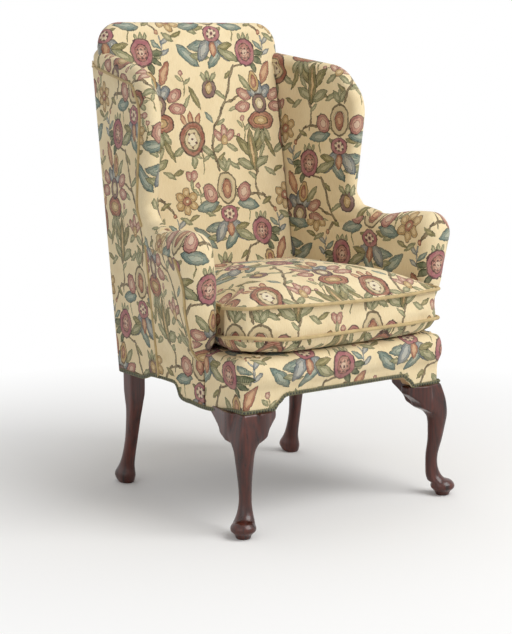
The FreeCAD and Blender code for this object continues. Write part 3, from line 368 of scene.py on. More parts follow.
@dataclass(frozen=True)
class Lines:
    """Outlines of the covered chair, in millimetres, shared by all its cloths."""

    lean: float = math.radians(9.5)
    rear: float = 572.0
    low: float = 298.0
    seam_y: float = 372.0
    arm_height: float = 706.0
    rail_top: float = 380.0
    half_inside: float = 256.0
    back_depth: float = 69.3
    crest_roll: float = 30.5
    crest_corner: float = 63.0
    crest_middle: float = 858.3
    wing_roll: float = 22.0
    arm_top: float = 650.0
    wing_line: tuple = ((722.0, 1092.0), (418.0, 1047.0, 75.0), (358.0, 975.0, 80.0),
                        (378.0, 812.0, 60.0), (388.0, 735.0, 45.0), (352.0, 690.0, 40.0),
                        (290.0, 676.0))
    arm_front: tuple = ((380.4, 290.3, 182.0, 8.0), (405.0, 299.0, 184.0, 18.0),
                        (425.0, 309.0, 172.0, 26.0), (450.0, 326.0, 143.0, 30.0),
                        (480.0, 339.0, 127.0, 34.0), (520.0, 349.0, 119.0, 37.0),
                        (580.0, 354.0, 114.0, 40.0), (650.0, 367.0, 120.0, 48.0))

    def rear_y(self, z: float) -> float:
        """Rear face of the back at a height."""
        return self.rear + math.tan(self.lean) * (z - self.low)

    def rear_x(self, z: float) -> float:
        """Outer side at the rear corner."""
        return mix(290.0, 276.0, max((z - self.low) / 882.0, 0.0))

    def side_x(self, y: float) -> float:
        """Outer side of the covered seat rail."""
        return mix(302.0, 290.0, (y - 10.0) / 562.0)

    def seam_x(self, z: float) -> float:
        """Outer side along the upright seam."""
        share = (z - self.low) / (self.arm_height - self.low)
        return mix(self.side_x(self.seam_y), 337.0, min(max(share, 0.0), 1.0))

    def inner_seam_x(self, z: float) -> float:
        """Inner side of the arm along the upright seam."""
        share = (z - self.rail_top) / (self.arm_height - self.rail_top)
        return mix(274.0, 295.0, min(max(share, 0.0), 1.0))

    def inside_y(self, z: float) -> float:
        """Front of the stuffed back at a height."""
        return self.rear_y(z) - self.back_depth / math.cos(self.lean)

    def inner_x(self, y: float, z: float) -> float:
        """Inner side of arm and wing behind the seam."""
        t = (y - self.seam_y) / (self.rear_y(z) - 50.0 - self.seam_y)
        return mix(self.inner_seam_x(z), self.half_inside, t)

    def outer_x(self, y: float, z: float) -> float:
        """Outer side of side and wing behind the seam."""
        t = (y - self.seam_y) / (self.rear_y(z) - self.seam_y)
        return mix(self.seam_x(z), self.rear_x(z), t)

    def wing_middle(self, y: float) -> float:
        """Middle plane of the wing's rolled edge."""
        return 316.0 - 0.19 * (y - self.seam_y)

    def raked(self, x: float, n: float, w: float) -> Vector:
        """Point in the back's own frame: n forwards of the rear face and w up the rake."""
        return metres(x, self.rear - n * math.cos(self.lean) + w * math.sin(self.lean),
                      self.low + n * math.sin(self.lean) + w * math.cos(self.lean))

    def side_edge(self, y: float) -> float:
        """Lower edge of the cloth along the side."""
        stops = ((-40.0, 288.0), (30.0, 288.0), (70.0, 284.0), (110.0, 278.0), (150.0, 272.5),
                 (190.0, 271.5), (230.0, 274.0), (262.0, 275.0), (284.0, 282.0), (296.0, 302.0),
                 (304.0, 310.0), (330.0, 312.0), (390.0, 312.0), (414.0, 310.0), (436.0, 302.0),
                 (460.0, 298.0), (700.0, 298.0))
        return along(stops, y)[0]

    def front_edge(self, x: float) -> float:
        """Lower edge of the cloth along the front."""
        stops = ((0.0, 317.0), (176.0, 317.0), (186.0, 314.0), (194.0, 306.0), (202.0, 301.0),
                 (208.0, 294.0), (214.0, 287.5), (230.0, 287.0), (260.0, 286.5), (302.0, 288.0))
        return along(stops, abs(x))[0]


LINES = Lines()


@dataclass
class BackCloths:
    """The stuffed inside back with its rolled crest, and the outside back."""

    lines: Lines = LINES
    crown: float = 7.0
    half: float = 245.3
    spread_from: float = 770.0
    spread_over: float = 26.0
    side_roll: float = 10.0
    start: float = 104.0
    cloth_at: Spot2 = (0.0, 0.0)
    pieces: list = field(default_factory=list)

    def spot(self, x: float, w: float) -> Vector:
        """Place on the stuffed back of a point of the flat cloth.

        Args:
            x: Distance across from the middle.
            w: Distance up the rake.

        Returns:
            The place on the pad, or round the roll at its edges.
        """
        m = self.lines
        high = ease((w - self.spread_from) / self.spread_over)
        r = mix(self.side_roll, m.crest_roll, high)
        half = self.half
        corner = m.crest_corner - m.crest_roll
        side = 1.0 if x >= 0 else -1.0
        ax = abs(x)
        cx, cw = half - corner, m.crest_middle - corner
        d, qx, qw, ox, ow = 0.0, ax, w, 0.0, 0.0
        if ax > cx and w > cw:
            gap = math.hypot(ax - cx, w - cw)
            if gap > corner:
                ox, ow = (ax - cx) / gap, (w - cw) / gap
                d = gap - corner
                qx, qw = cx + ox * corner, cw + ow * corner
        elif ax > half:
            d, qx, ox = ax - half, half, 1.0
        elif w > m.crest_middle:
            d, qw, ow = w - m.crest_middle, m.crest_middle, 1.0
        bulge = self.crown * (1.0 - (qx / half) ** 2) * ease((w - 120.0) / 160.0)
        bulge *= 1.0 - 0.75 * ease((w - 700.0) / 160.0)
        turn = min(d / r, math.pi * 0.99)
        n = m.back_depth - r + r * math.cos(turn) + bulge * (1.0 if d == 0 else max(0.0, 1 - d / 20.0))
        shift = r * math.sin(turn)
        return m.raked(side * (qx + ox * shift), n, qw + ow * shift)

    def inside(self) -> bpy.types.Object:
        """The cloth over the inside back and crest, in one piece.

        Returns:
            The new piece.
        """
        m = self.lines
        corner = m.crest_corner - m.crest_roll
        wrap = m.crest_roll * math.pi * 0.97
        side_cols, mid_cols, low_rows, top_rows = 30, 56, 96, 30
        cols = mid_cols + 2 * side_cols
        base = self.half - corner

        def place(i: int, j: int) -> tuple[Vector, Spot2]:
            """Grid point of the cloth."""
            if j < side_cols:
                a, side = (side_cols - j) / side_cols, -1.0
            elif j > cols - side_cols:
                a, side = (j - cols + side_cols) / side_cols, 1.0
            else:
                a, side = 0.0, 1.0
            x = -base + 2 * base * (j - side_cols) / mid_cols
            if i <= low_rows:
                w = mix(self.start, m.crest_middle - corner, i / low_rows)
                reach = mix(corner + 13.0, corner + wrap, ease((w - self.spread_from) / self.spread_over))
                if a > 0:
                    x = side * (base + a * reach)
            else:
                b = (i - low_rows) / top_rows
                reach = corner + wrap
                w = m.crest_middle - corner + b * reach
                if a > 0:
                    r = max(a, b) * reach
                    turn = math.pi / 4 * b / a if a > b else math.pi / 2 - math.pi / 4 * a / b
                    x = side * (base + r * math.cos(turn))
                    w = m.crest_middle - corner + r * math.sin(turn)
            return self.spot(x, w), (x / 1000.0 + self.cloth_at[0], w / 1000.0 + self.cloth_at[1])

        obj = stretched("inside_back_cloth", low_rows + top_rows, cols, place)
        turned_out(obj, metres(0, 640, 800))
        thickened(obj, 0.003)
        smooth(obj, 60)
        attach(obj, "chair")
        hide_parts("inside_back")
        return obj

    def outside(self) -> bpy.types.Object:
        """The flat cloth stretched over the rear, rounded like the crest at its top.

        Returns:
            The new piece.
        """
        m = self.lines
        top = m.crest_middle + 18.0
        corner = 46.0

        def place(i: int, j: int) -> tuple[Vector, Spot2]:
            """Grid point of the cloth."""
            v, u = i / 60.0, j / 40.0 * 2.0 - 1.0
            w = mix(1.0, top, v)
            z = m.low + w * math.cos(m.lean)
            narrow = mix(0.0, m.rear_x(z) - 259.0, ease((w - 770.0) / 30.0))
            half = m.rear_x(z) - 1.0 - narrow
            if w > top - corner:
                drop = w - (top - corner)
                half -= corner - math.sqrt(max(corner ** 2 - drop ** 2, 0.0))
            x = u * half
            n = -2.5 * (1 - u * u) * (1 - (2 * v - 1) ** 4)
            return m.raked(x, n, w), (-x / 1000.0 + 0.05, w / 1000.0)

        obj = stretched("outside_back_cloth", 60, 40, place)
        turned_out(obj, metres(0, 400, 700))
        thickened(obj, 0.004)
        smooth(obj, 40)
        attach(obj, "chair")
        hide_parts("outside_back_cover")
        return obj

    def build(self) -> None:
        """Both cloths of the back."""
        self.pieces = [self.inside(), self.outside()]


@dataclass
class WingCloths:
    """One side's wing: its inner cloth with the rolled edge, and the outside cloth below it."""

    lines: Lines = LINES
    cloth_at: Spot2 = (0.0, 0.0)
    outer_at: Spot2 = (0.0, 0.0)
    pieces: list = field(default_factory=list)

    def line(self) -> list[tuple[Spot2, Spot2]]:
        """Points of the roll's middle line with their outward directions, from the rear down.

        Returns:
            Points and directions.
        """
        return [(here, (dy, -dx)) for here, (dx, dy) in headings(rounded(self.lines.wing_line, 8.0))]

    def inner(self) -> bpy.types.Object:
        """The inner cloth, carried round the roll to its seam on the outer side.

        Returns:
            The new piece.
        """
        m = self.lines
        line = self.line()
        last = len(line) - 1
        deep, turns = 26, 16
        r = m.wing_roll
        flap = 24.0

        def anchor(k: int) -> Spot2:
            """Hidden edge of the cloth, behind the back's face or under the arm's roll."""
            share = k / last
            if share < 0.66:
                z = mix(1086.0, 668.0, share / 0.66)
                return m.inside_y(z) + 9.0, z
            return mix(m.inside_y(668.0) + 9.0, 300.0, (share - 0.66) / 0.34), 660.0

        def place(i: int, j: int) -> tuple[Vector, Spot2]:
            """Grid point of the cloth."""
            (py, pz), (oy, oz) = line[j]
            if i <= deep:
                qy, qz = anchor(j)
                t = (i / deep) ** 0.8
                y, z = mix(qy, py, t), mix(qz, pz, t)
                x = m.inner_x(y, z) if y > m.seam_y else m.wing_middle(y) - r
                x = mix(x, m.wing_middle(y) - r, ease((t - 0.75) / 0.25))
                x -= 4.5 * math.sin(math.pi * min(t, 1.0)) * (1 if pz > 700 else 0.5)
                return metres(x, y, z), (y / 1000 + self.cloth_at[0], z / 1000 + self.cloth_at[1])
            d = (i - deep) / turns * (math.pi * r + flap)
            flat = ((py + oy * d) / 1000 + self.cloth_at[0], (pz + oz * d) / 1000 + self.cloth_at[1])
            if d <= math.pi * r:
                turn = d / r
                x = m.wing_middle(py) - r * math.cos(turn)
                reach = r * math.sin(turn)
            else:
                reach = -(d - math.pi * r)
                x = m.wing_middle(py) + r - 0.02 * reach * reach / flap
            z = pz + oz * reach
            return metres(x, min(py + oy * reach, m.rear_y(z) - 3.0), z), flat

        obj = stretched("inside_wing_cloth_right", deep + turns, last, place)
        turned_out(obj, metres(320, 520, 880))
        thickened(obj, 0.003)
        smooth(obj, 60)
        return obj

    def outer(self) -> bpy.types.Object:
        """The cloth over the outside of the wing and the seat's side.

        Returns:
            The new piece.
        """
        m = self.lines
        line = self.line()
        edge = [(378.0, m.side_edge(378.0) + 0.5)]
        edge += [(378.0, z) for z in range(320, 650, 12)]
        curve = [((p[0] - o[0] * 20.0), (p[1] - o[1] * 20.0)) for p, o in reversed(line)]
        edge += [c for c in curve if c[1] > 662.0 and c[0] < 690.0 and (c[0] > 372.0 or c[1] > 700)]
        lengths = [0.0]
        for a, b in zip(edge, edge[1:]):
            lengths.append(lengths[-1] + math.dist(a, b))

        def front(v: float) -> Spot2:
            """Point of the front edge at a share of its length.

            Args:
                v: Middle up the cloth.

            Returns:
                The point.
            """
            want = v * lengths[-1]
            i = 0
            while i < len(edge) - 2 and lengths[i + 1] < want:
                i += 1
            t = (want - lengths[i]) / (lengths[i + 1] - lengths[i])
            return mix(edge[i][0], edge[i + 1][0], t), mix(edge[i][1], edge[i + 1][1], t)

        rows, cols = 96, 40

        def place(i: int, j: int) -> tuple[Vector, Spot2]:
            """Grid point of the cloth."""
            v, u = i / rows, j / cols
            fy, fz = front(v)
            rz = mix(m.low, 1084.0, min(1.0, v * 1.28) if v < 0.7 else mix(0.896, 1.0, (v - 0.7) / 0.3))
            ry = m.rear_y(rz)
            y, z = mix(fy, ry, u), mix(fz, rz, u)
            if i == 0:
                z = m.side_edge(y)
            x = m.outer_x(y, z) + 2.0 * math.sin(math.pi * u) * math.sin(math.pi * v)
            x += 0.6
            return metres(x, y, z), (y / 1000 + self.outer_at[0], z / 1000 + self.outer_at[1])

        obj = stretched("outside_wing_cloth_right", rows, cols, place)
        turned_out(obj, metres(0, 520, 700))
        thickened(obj, 0.0035)
        smooth(obj, 40)
        return obj

    def build(self) -> None:
        """The wing's cloths on both sides."""
        for right, node, form in ((self.inner(), "inside_wing", "padded"),
                                  (self.outer(), "outside_wing_cover", "sheet")):
            for obj, side in both_sides(right, node):
                self.pieces.append(obj)


@dataclass
class ArmCloths:
    """One side's arm: the stuffed inner side, front cone and rolled top, and the outside cloth."""

    lines: Lines = LINES
    cloth_at: Spot2 = (0.0, 0.0)
    outer_at: Spot2 = (0.0, 0.0)
    pieces: list = field(default_factory=list)

    def section(self, z: float, share: float, base: float) -> list[tuple[Spot2, float]]:
        """Plan of the arm at a height, from its inner rear round the nose to its outer seam.

        Args:
            z: Height of the plan.
            share: How far the sides still stand out from the middle line.
            base: Height whose front station is used.

        Returns:
            Points with a mark that is over 0 on the outer side behind the nose.
        """
        m = self.lines
        cx, cy, r = along(m.arm_front, base)
        rear = m.rear_y(z) - 52.0
        outer_rear, inner_rear = m.rear_x(z), m.half_inside
        outer_seam, inner_seam = m.seam_x(z), m.inner_seam_x(z)
        mid_rear, mid_seam = (outer_rear + inner_rear) / 2, (outer_seam + inner_seam) / 2
        inner_rear = mix(mid_rear, inner_rear, share)
        inner_seam = mix(mid_seam, inner_seam, share)
        outer_seam = mix(mid_seam, outer_seam, share)
        reach = r * share
        spots: list[tuple[Spot2, float]] = []
        for k in range(16):
            t = k / 16.0
            spots.append(((mix(inner_rear, inner_seam, t), mix(rear, m.seam_y, t)), 0.0))
        for k in range(28):
            t = k / 28.0
            bow = -3.0 * math.sin(math.pi * t) * share
            spots.append(((mix(inner_seam, cx - reach, t) + bow, mix(m.seam_y, cy, t)), 0.0))
        for k in range(25):
            turn = math.pi * (1.0 - k / 24.0)
            spots.append(((cx + reach * math.cos(turn), cy - reach * math.sin(turn)), 0.0))
        for k in range(1, 29):
            t = k / 28.0
            x, y = mix(cx + reach, outer_seam, t), mix(cy, m.seam_y + 6.0, t)
            spots.append(((x, y), ease((y - cy - 6.0) / 8.0)))
        return spots

    def inner(self) -> bpy.types.Object:
        """The stuffed cloth of the arm.

        Returns:
            The new piece.
        """
        m = self.lines
        levels = [(z, 1.0, z) for z in (mix(381.0, m.arm_top, k / 44.0) for k in range(45))]
        for k in range(1, 15):
            a = math.radians(90.0 * k / 14.0)
            levels.append((m.arm_top + (m.arm_height - m.arm_top) * math.sin(a), max(math.cos(a), 0.0),
                           m.arm_top))
        rows = []
        for z, share, base in levels:
            row = []
            for (x, y), mark in self.section(z, share, base):
                sink = 3.5 * mark * ease((m.arm_top - 4.0 - z) / 8.0)
                dip = 0.0
                if z > m.arm_top:
                    lift = (z - m.arm_top) / (m.arm_height - m.arm_top)
                    dip = 15.0 * lift * math.exp(-((y - 262.0) / 62.0) ** 2)
                row.append(metres(x - sink, y, z - dip))
            rows.append(row)
        cols = len(rows[0]) - 1
        nose = 56
        up = [0.0]
        for a, b in zip(rows, rows[1:]):
            up.append(up[-1] + (b[nose - 30] - a[nose - 30]).length)
        across = []
        for row in rows:
            run = [0.0]
            for a, b in zip(row, row[1:]):
                run.append(run[-1] + (b - a).length)
            across.append([value - run[44] for value in run])

        def place(i: int, j: int) -> tuple[Vector, Spot2]:
            """Grid point of the cloth."""
            held = min(i, 44)
            return rows[i][j], (-across[held][j] + self.cloth_at[0], up[i] + self.cloth_at[1])

        obj = stretched("inside_arm_cloth_right", len(rows) - 1, cols, place)
        turned_out(obj, metres(330, 260, 540))
        take(obj)
        bpy.ops.object.mode_set(mode="EDIT")
        bpy.ops.mesh.select_all(action="SELECT")
        bpy.ops.mesh.remove_doubles(threshold=0.0004)
        bpy.ops.object.mode_set(mode="OBJECT")
        thickened(obj, 0.003)
        smooth(obj, 60)
        return obj

    def outer(self) -> bpy.types.Object:
        """The flat cloth over the arm's outside, from its nose to the upright seam.

        Returns:
            The new piece.
        """
        m = self.lines

        def place(i: int, j: int) -> tuple[Vector, Spot2]:
            """Grid point of the cloth."""
            v, u = i / 50.0, j / 36.0
            z = mix(290.0, 643.0, v)
            y0, x0 = 178.0, m.side_x(178.0)
            if z > 384.0:
                cx, cy, r = along(m.arm_front, z)
                y0 = mix(y0, cy + 6.0, ease((z - 384.0) / 20.0))
            y = mix(y0, m.seam_y + 5.0, u)
            z = mix(m.side_edge(y) + 0.5, 643.0, v)
            if z > 384.0:
                cx, cy, r = along(m.arm_front, z)
                x0 = mix(x0, cx + r, ease((z - 384.0) / 20.0))
            x = mix(x0, m.outer_x(m.seam_y, z), u)
            x += 0.6 + 1.5 * math.sin(math.pi * u) * math.sin(math.pi * v)
            return metres(x, y, z), (y / 1000 + self.outer_at[0], z / 1000 + self.outer_at[1])

        obj = stretched("outside_arm_cloth_right", 50, 36, place)
        turned_out(obj, metres(0, 300, 500))
        thickened(obj, 0.0035)
        smooth(obj, 40)
        return obj

    def build(self) -> None:
        """The arm's cloths on both sides."""
        for right, node, form in ((self.inner(), "inside_arm", "padded"),
                                  (self.outer(), "outside_arm_cover", "sheet")):
            for obj, side in both_sides(right, node):
                self.pieces.append(obj)


@dataclass
class FrontCloth:
    """The cloth over the front rail: a padded roll over a flat border, carried round both corners."""

    lines: Lines = LINES
    bulge: float = 18.0
    top: float = 416.0
    corner: float = 20.0
    back_to: float = 172.0
    pieces: list = field(default_factory=list)

    def plan(self) -> list[tuple[Spot2, Spot2, float]]:
        """Points of the lower face in plan, with outward directions and the roll's strength.

        Returns:
            Points, outward directions and how strong the roll is.
        """
        m = self.lines
        half = 302.0
        corners = [(m.side_x(self.back_to), self.back_to), (half, 10.0, self.corner - 8.0),
                   (-half, 10.0, self.corner - 8.0), (-m.side_x(self.back_to), self.back_to)]
        found = []
        for here, (dx, dy) in headings(rounded(corners, 6.0)):
            share = 1.0 if here[1] < 12 else mix(0.62, 0.12, ease((here[1] - 12.0) / 150.0))
            found.append((here, (-dy, dx), share))
        return found

    def build(self) -> None:
        """The padded cloth of the front."""
        m = self.lines
        plan = self.plan()
        steps = 46
        lengths = [0.0]
        for a, b in zip(plan, plan[1:]):
            lengths.append(lengths[-1] + math.dist(a[0], b[0]))

        def profile(t: float, low: float) -> tuple[float, float, float]:
            """Outward distance, height and cloth length at a share of the way up and over.

            Args:
                t: Share of the way up and over.
                low: Height of the lower edge.

            Returns:
                Outward distance, height and length run.
            """
            rows = ((low, 0.0), (330.0, 0.0), (342.0, 3.0), (354.0, 11.0), (366.0, 16.5),
                    (380.0, 18.0), (392.0, 16.0), (402.0, 10.5), (410.0, 1.0), (414.5, -11.0),
                    (416.0, -26.0), (416.0, -60.0))
            cuts = [0.0]
            for a, b in zip(rows, rows[1:]):
                cuts.append(cuts[-1] + math.dist(a, b))
            want = t * cuts[-1]
            i = 0
            while i < len(rows) - 2 and cuts[i + 1] < want:
                i += 1
            s = (want - cuts[i]) / (cuts[i + 1] - cuts[i])
            return mix(rows[i][1], rows[i + 1][1], s), mix(rows[i][0], rows[i + 1][0], s), want

        def place(i: int, j: int) -> tuple[Vector, Spot2]:
            """Grid point of the cloth."""
            (x, y), (ox, oy), share = plan[j]
            low = m.front_edge(x) if y < 14.0 else m.side_edge(y)
            out, z, run = profile(i / steps, low)
            out = out * share if out > 0 else out
            flat = (-(lengths[j] - lengths[-1] / 2) / 1000.0 + 0.02, (low + run) / 1000.0 + 0.10)
            return metres(x + ox * out, y + oy * out, z), flat

        obj = stretched("front_border_cloth", steps, len(plan) - 1, place)
        turned_out(obj, metres(0, 200, 300))
        thickened(obj, 0.003)
        smooth(obj, 60)
        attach(obj, "chair")
        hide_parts("front_border")
        self.pieces.append(obj)


@dataclass
class SeatDeck:
    """The cloth over the seat under the loose cushion."""

    lines: Lines = LINES
    height: float = 416.2
    pieces: list = field(default_factory=list)

    def build(self) -> None:
        """One low-crowned cloth over the deck pad's place."""
        lo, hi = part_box("deck_pad")

        def place(i: int, j: int) -> tuple[Vector, Spot2]:
            """Grid point of the cloth."""
            u, v = j / 40.0 * 2.0 - 1.0, i / 36.0
            edge = min(1.0, (1.0 - abs(u)) * 14.0, v * 14.0, (1.0 - v) * 14.0)
            z = mix(lo[2] + 0.004, hi[2] - 0.002, math.sin(max(edge, 0.0) * math.pi / 2))
            y = mix(lo[1] + 0.004, hi[1] - 0.006, v)
            half = mix(hi[0] - 0.004, 0.250, v) if hi[0] > 0.25 else hi[0] - 0.002
            return Vector((u * half, y, z)), (u * half, y)

        obj = stretched("seat_deck_cloth", 36, 40, place)
        turned_out(obj, Vector((0.0, 0.0, lo[2] - 0.2)))
        thickened(obj, 0.012)
        smooth(obj, 60)
        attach(obj, "chair")
        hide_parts("deck_pad")
        self.pieces.append(obj)


@dataclass
class LooseCushion:
    """The boxed feather cushion with ears in front of the arms."""

    corners: tuple = ((188.0, -14.0, 260.0), (298.0, 6.0, 24.0), (314.0, 76.0, 14.0),
                      (290.0, 112.0, 16.0), (280.0, 206.0), (245.0, 516.0, 34.0))
    low: float = 416.3
    box_low: float = 455.0
    box_high: float = 528.0
    crown: float = 44.0
    swell: float = 0.020
    voxel: float = 0.006
    quick_voxel: float = 0.009
    pressure: float = 4.0
    sim_steps: int = 16
    welt: float = 4.4
    pieces: list = field(default_factory=list)

    def outline(self, inset: float, step: float = 9.0) -> list[Spot2]:
        """Outline of the cushion in plan, drawn in from its seams.

        Args:
            inset: Distance inside the seam line.
            step: Distance between spots.

        Returns:
            Spots once round, from the front towards the right.
        """
        half = [tuple(c) for c in self.corners]
        other = [(-c[0],) + tuple(c[1:]) for c in reversed(half)]
        spots = rounded(half + other, step, closed=True)
        if inset == 0.0:
            return spots
        count = len(spots)
        found = []
        for i, here in enumerate(spots):
            a, b = spots[i - 2], spots[(i + 2) % count]
            gap = math.dist(a, b)
            found.append((here[0] - (b[1] - a[1]) / gap * inset, here[1] + (b[0] - a[0]) / gap * inset))
        return found

    def puff(self, x: float, y: float) -> float:
        """How much the upper seam rises or sinks, in millimetres."""
        return 9.0 * math.exp(-((x + 215.0) / 90.0) ** 2) * ease((60.0 - y) / 120.0) \
            - 3.0 * math.exp(-((x - 60.0) / 120.0) ** 2) * ease((60.0 - y) / 120.0)

    def lifted(self, x: float, y: float) -> float:
        """How far the lower seam stands up at the left front end, in millimetres."""
        return 13.0 * math.exp(-((x + 312.0) / 78.0) ** 2) * ease((130.0 - y) / 130.0)

    def body(self) -> bpy.types.Object:
        """The feather-filled cover, swelled by the cloth simulation.

        Returns:
            The cover.
        """
        spots = self.outline(1.0)
        count = len(spots)
        rings: list[tuple[float, float]] = [(self.low + 0.8, s) for s in (0.02, 0.25, 0.5, 0.7, 0.82)]
        rings += [(self.low + 4.0, 0.90), (self.low + 16.0, 0.955), (self.box_low, 0.995)]
        rings += [(mix(self.box_low, self.box_high, k / 4.0), 0.995) for k in range(1, 5)]
        for k in range(1, 12):
            s = 1.0 - k / 12.0
            rings.append((self.box_high + self.crown * (1.0 - s ** 2.6), max(s, 0.02)))

        def place(i: int, j: int) -> tuple[Vector, Spot2]:
            """Grid point of the cover."""
            x, y = spots[j % count]
            z, share = rings[i]
            cx, cy = 0.0, 250.0
            lift = self.puff(x, y) * share * ease((z - self.box_low) / 70.0)
            lift += self.lifted(x, y) * share ** 4 * (1.0 - 0.6 * ease((z - self.box_low) / 70.0))
            return metres(mix(cx, x, share), mix(cy, y, share), z + lift), (0.0, 0.0)

        obj = stretched("loose_cushion", len(rings) - 1, count, place)
        sealed(obj, 0.00005)
        remesh = obj.modifiers.new("remesh", "REMESH")
        remesh.mode = "VOXEL"
        remesh.voxel_size = self.voxel
        apply_all(obj)
        self.swelled(obj)
        finish = obj.modifiers.new("finish", "SUBSURF")
        finish.levels = 1
        finish.render_levels = 1
        apply_all(obj)
        self.lay_pattern(obj)
        smooth(obj, 75)
        return obj

    def swelled(self, obj: bpy.types.Object) -> None:
        """Runs the cloth simulation and limits how far each point moves.

        Args:
            obj: The piece.
        """
        start = [v.co.copy() for v in obj.data.vertices]
        cloth = obj.modifiers.new("cloth", "CLOTH")
        cloth.settings.use_pressure = True
        cloth.settings.uniform_pressure_force = self.pressure
        cloth.settings.effector_weights.gravity = 0.0
        cloth.settings.mass = 0.3
        cloth.settings.tension_stiffness = 12.0
        cloth.settings.compression_stiffness = 12.0
        cloth.settings.bending_stiffness = 0.4
        scene = bpy.context.scene
        for step in range(1, self.sim_steps + 1):
            scene.frame_set(step)
        take(obj)
        bpy.ops.object.modifier_apply(modifier=cloth.name)
        scene.frame_set(1)
        low_seam, high_seam = self.box_low / 1000.0, self.box_high / 1000.0
        for vertex, before in zip(obj.data.vertices, start):
            move = vertex.co - before
            gap = min(abs(before.z - low_seam), abs(before.z - high_seam))
            cap = self.swell * (0.12 + 0.88 * ease(gap / 0.05))
            if low_seam < before.z < high_seam:
                cap = 0.0035 + 0.003 * ease(gap / 0.03)
            if before.z < low_seam:
                cap = 0.0
            if move.length > cap:
                move = move * (cap / max(move.length, 1e-9))
            spot = before + move
            limit = 0.0015 if before.z > low_seam else 0.0
            if before.y > (90.0 - MIDDLE_Y) / 1000.0:
                spot.x = min(max(spot.x, -abs(before.x) - limit), abs(before.x) + limit)
            vertex.co = spot

    def lay_pattern(self, obj: bpy.types.Object) -> None:
        """Gives the cover its cloth coordinates: top, bottom and box band.

        Args:
            obj: The piece.
        """
        mesh = obj.data
        layer = mesh.uv_layers.active or mesh.uv_layers.new(name="UVMap")
        high = (self.box_high + 2.0) / 1000.0
        low = self.box_low / 1000.0
        for face in mesh.polygons:
            mid = face.center
            for k in face.loop_indices:
                co = mesh.vertices[mesh.loops[k].vertex_index].co
                if mid.z > high or mid.z < low:
                    uv = (co.x + 0.02, co.y * 1.06 + 0.10)
                elif abs(face.normal.y) >= abs(face.normal.x):
                    uv = (co.x * (1 if face.normal.y < 0 else -1) + 0.155, co.z - 0.335)
                else:
                    uv = (co.y * (1 if face.normal.x > 0 else -1) + 0.25, co.z - 0.335)
                layer.data[k].uv = uv

    def seam(self, name: str, z: float, node: str) -> bpy.types.Object:
        """A covered welt round the cushion.

        Args:
            name: Name of the piece.
            z: Height.
            node: The CAD node it stands for.

        Returns:
            The welt.
        """
        path = []
        for x, y in self.outline(-0.3, 9.0):
            high = z > 500.0
            lift = self.puff(x, y) + 0.4 * self.lifted(x, y) if high else self.lifted(x, y)
            path.append(metres(x, y, z + lift))
        obj = cord_mesh(name, path, self.welt / 1000.0, 10, closed=True)
        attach(obj, "cushion")
        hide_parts(node)
        return obj

    def build(self) -> None:
        """The cushion and its two welts."""
        cover = self.body()
        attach(cover, "cushion")
        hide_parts("cushion_cover", "cushion_filling")
        self.pieces = [cover, self.seam("cushion_welt_upper", self.box_high, "cushion_welt_top"),
                       self.seam("cushion_welt_lower", self.box_low, "cushion_welt_bottom")]


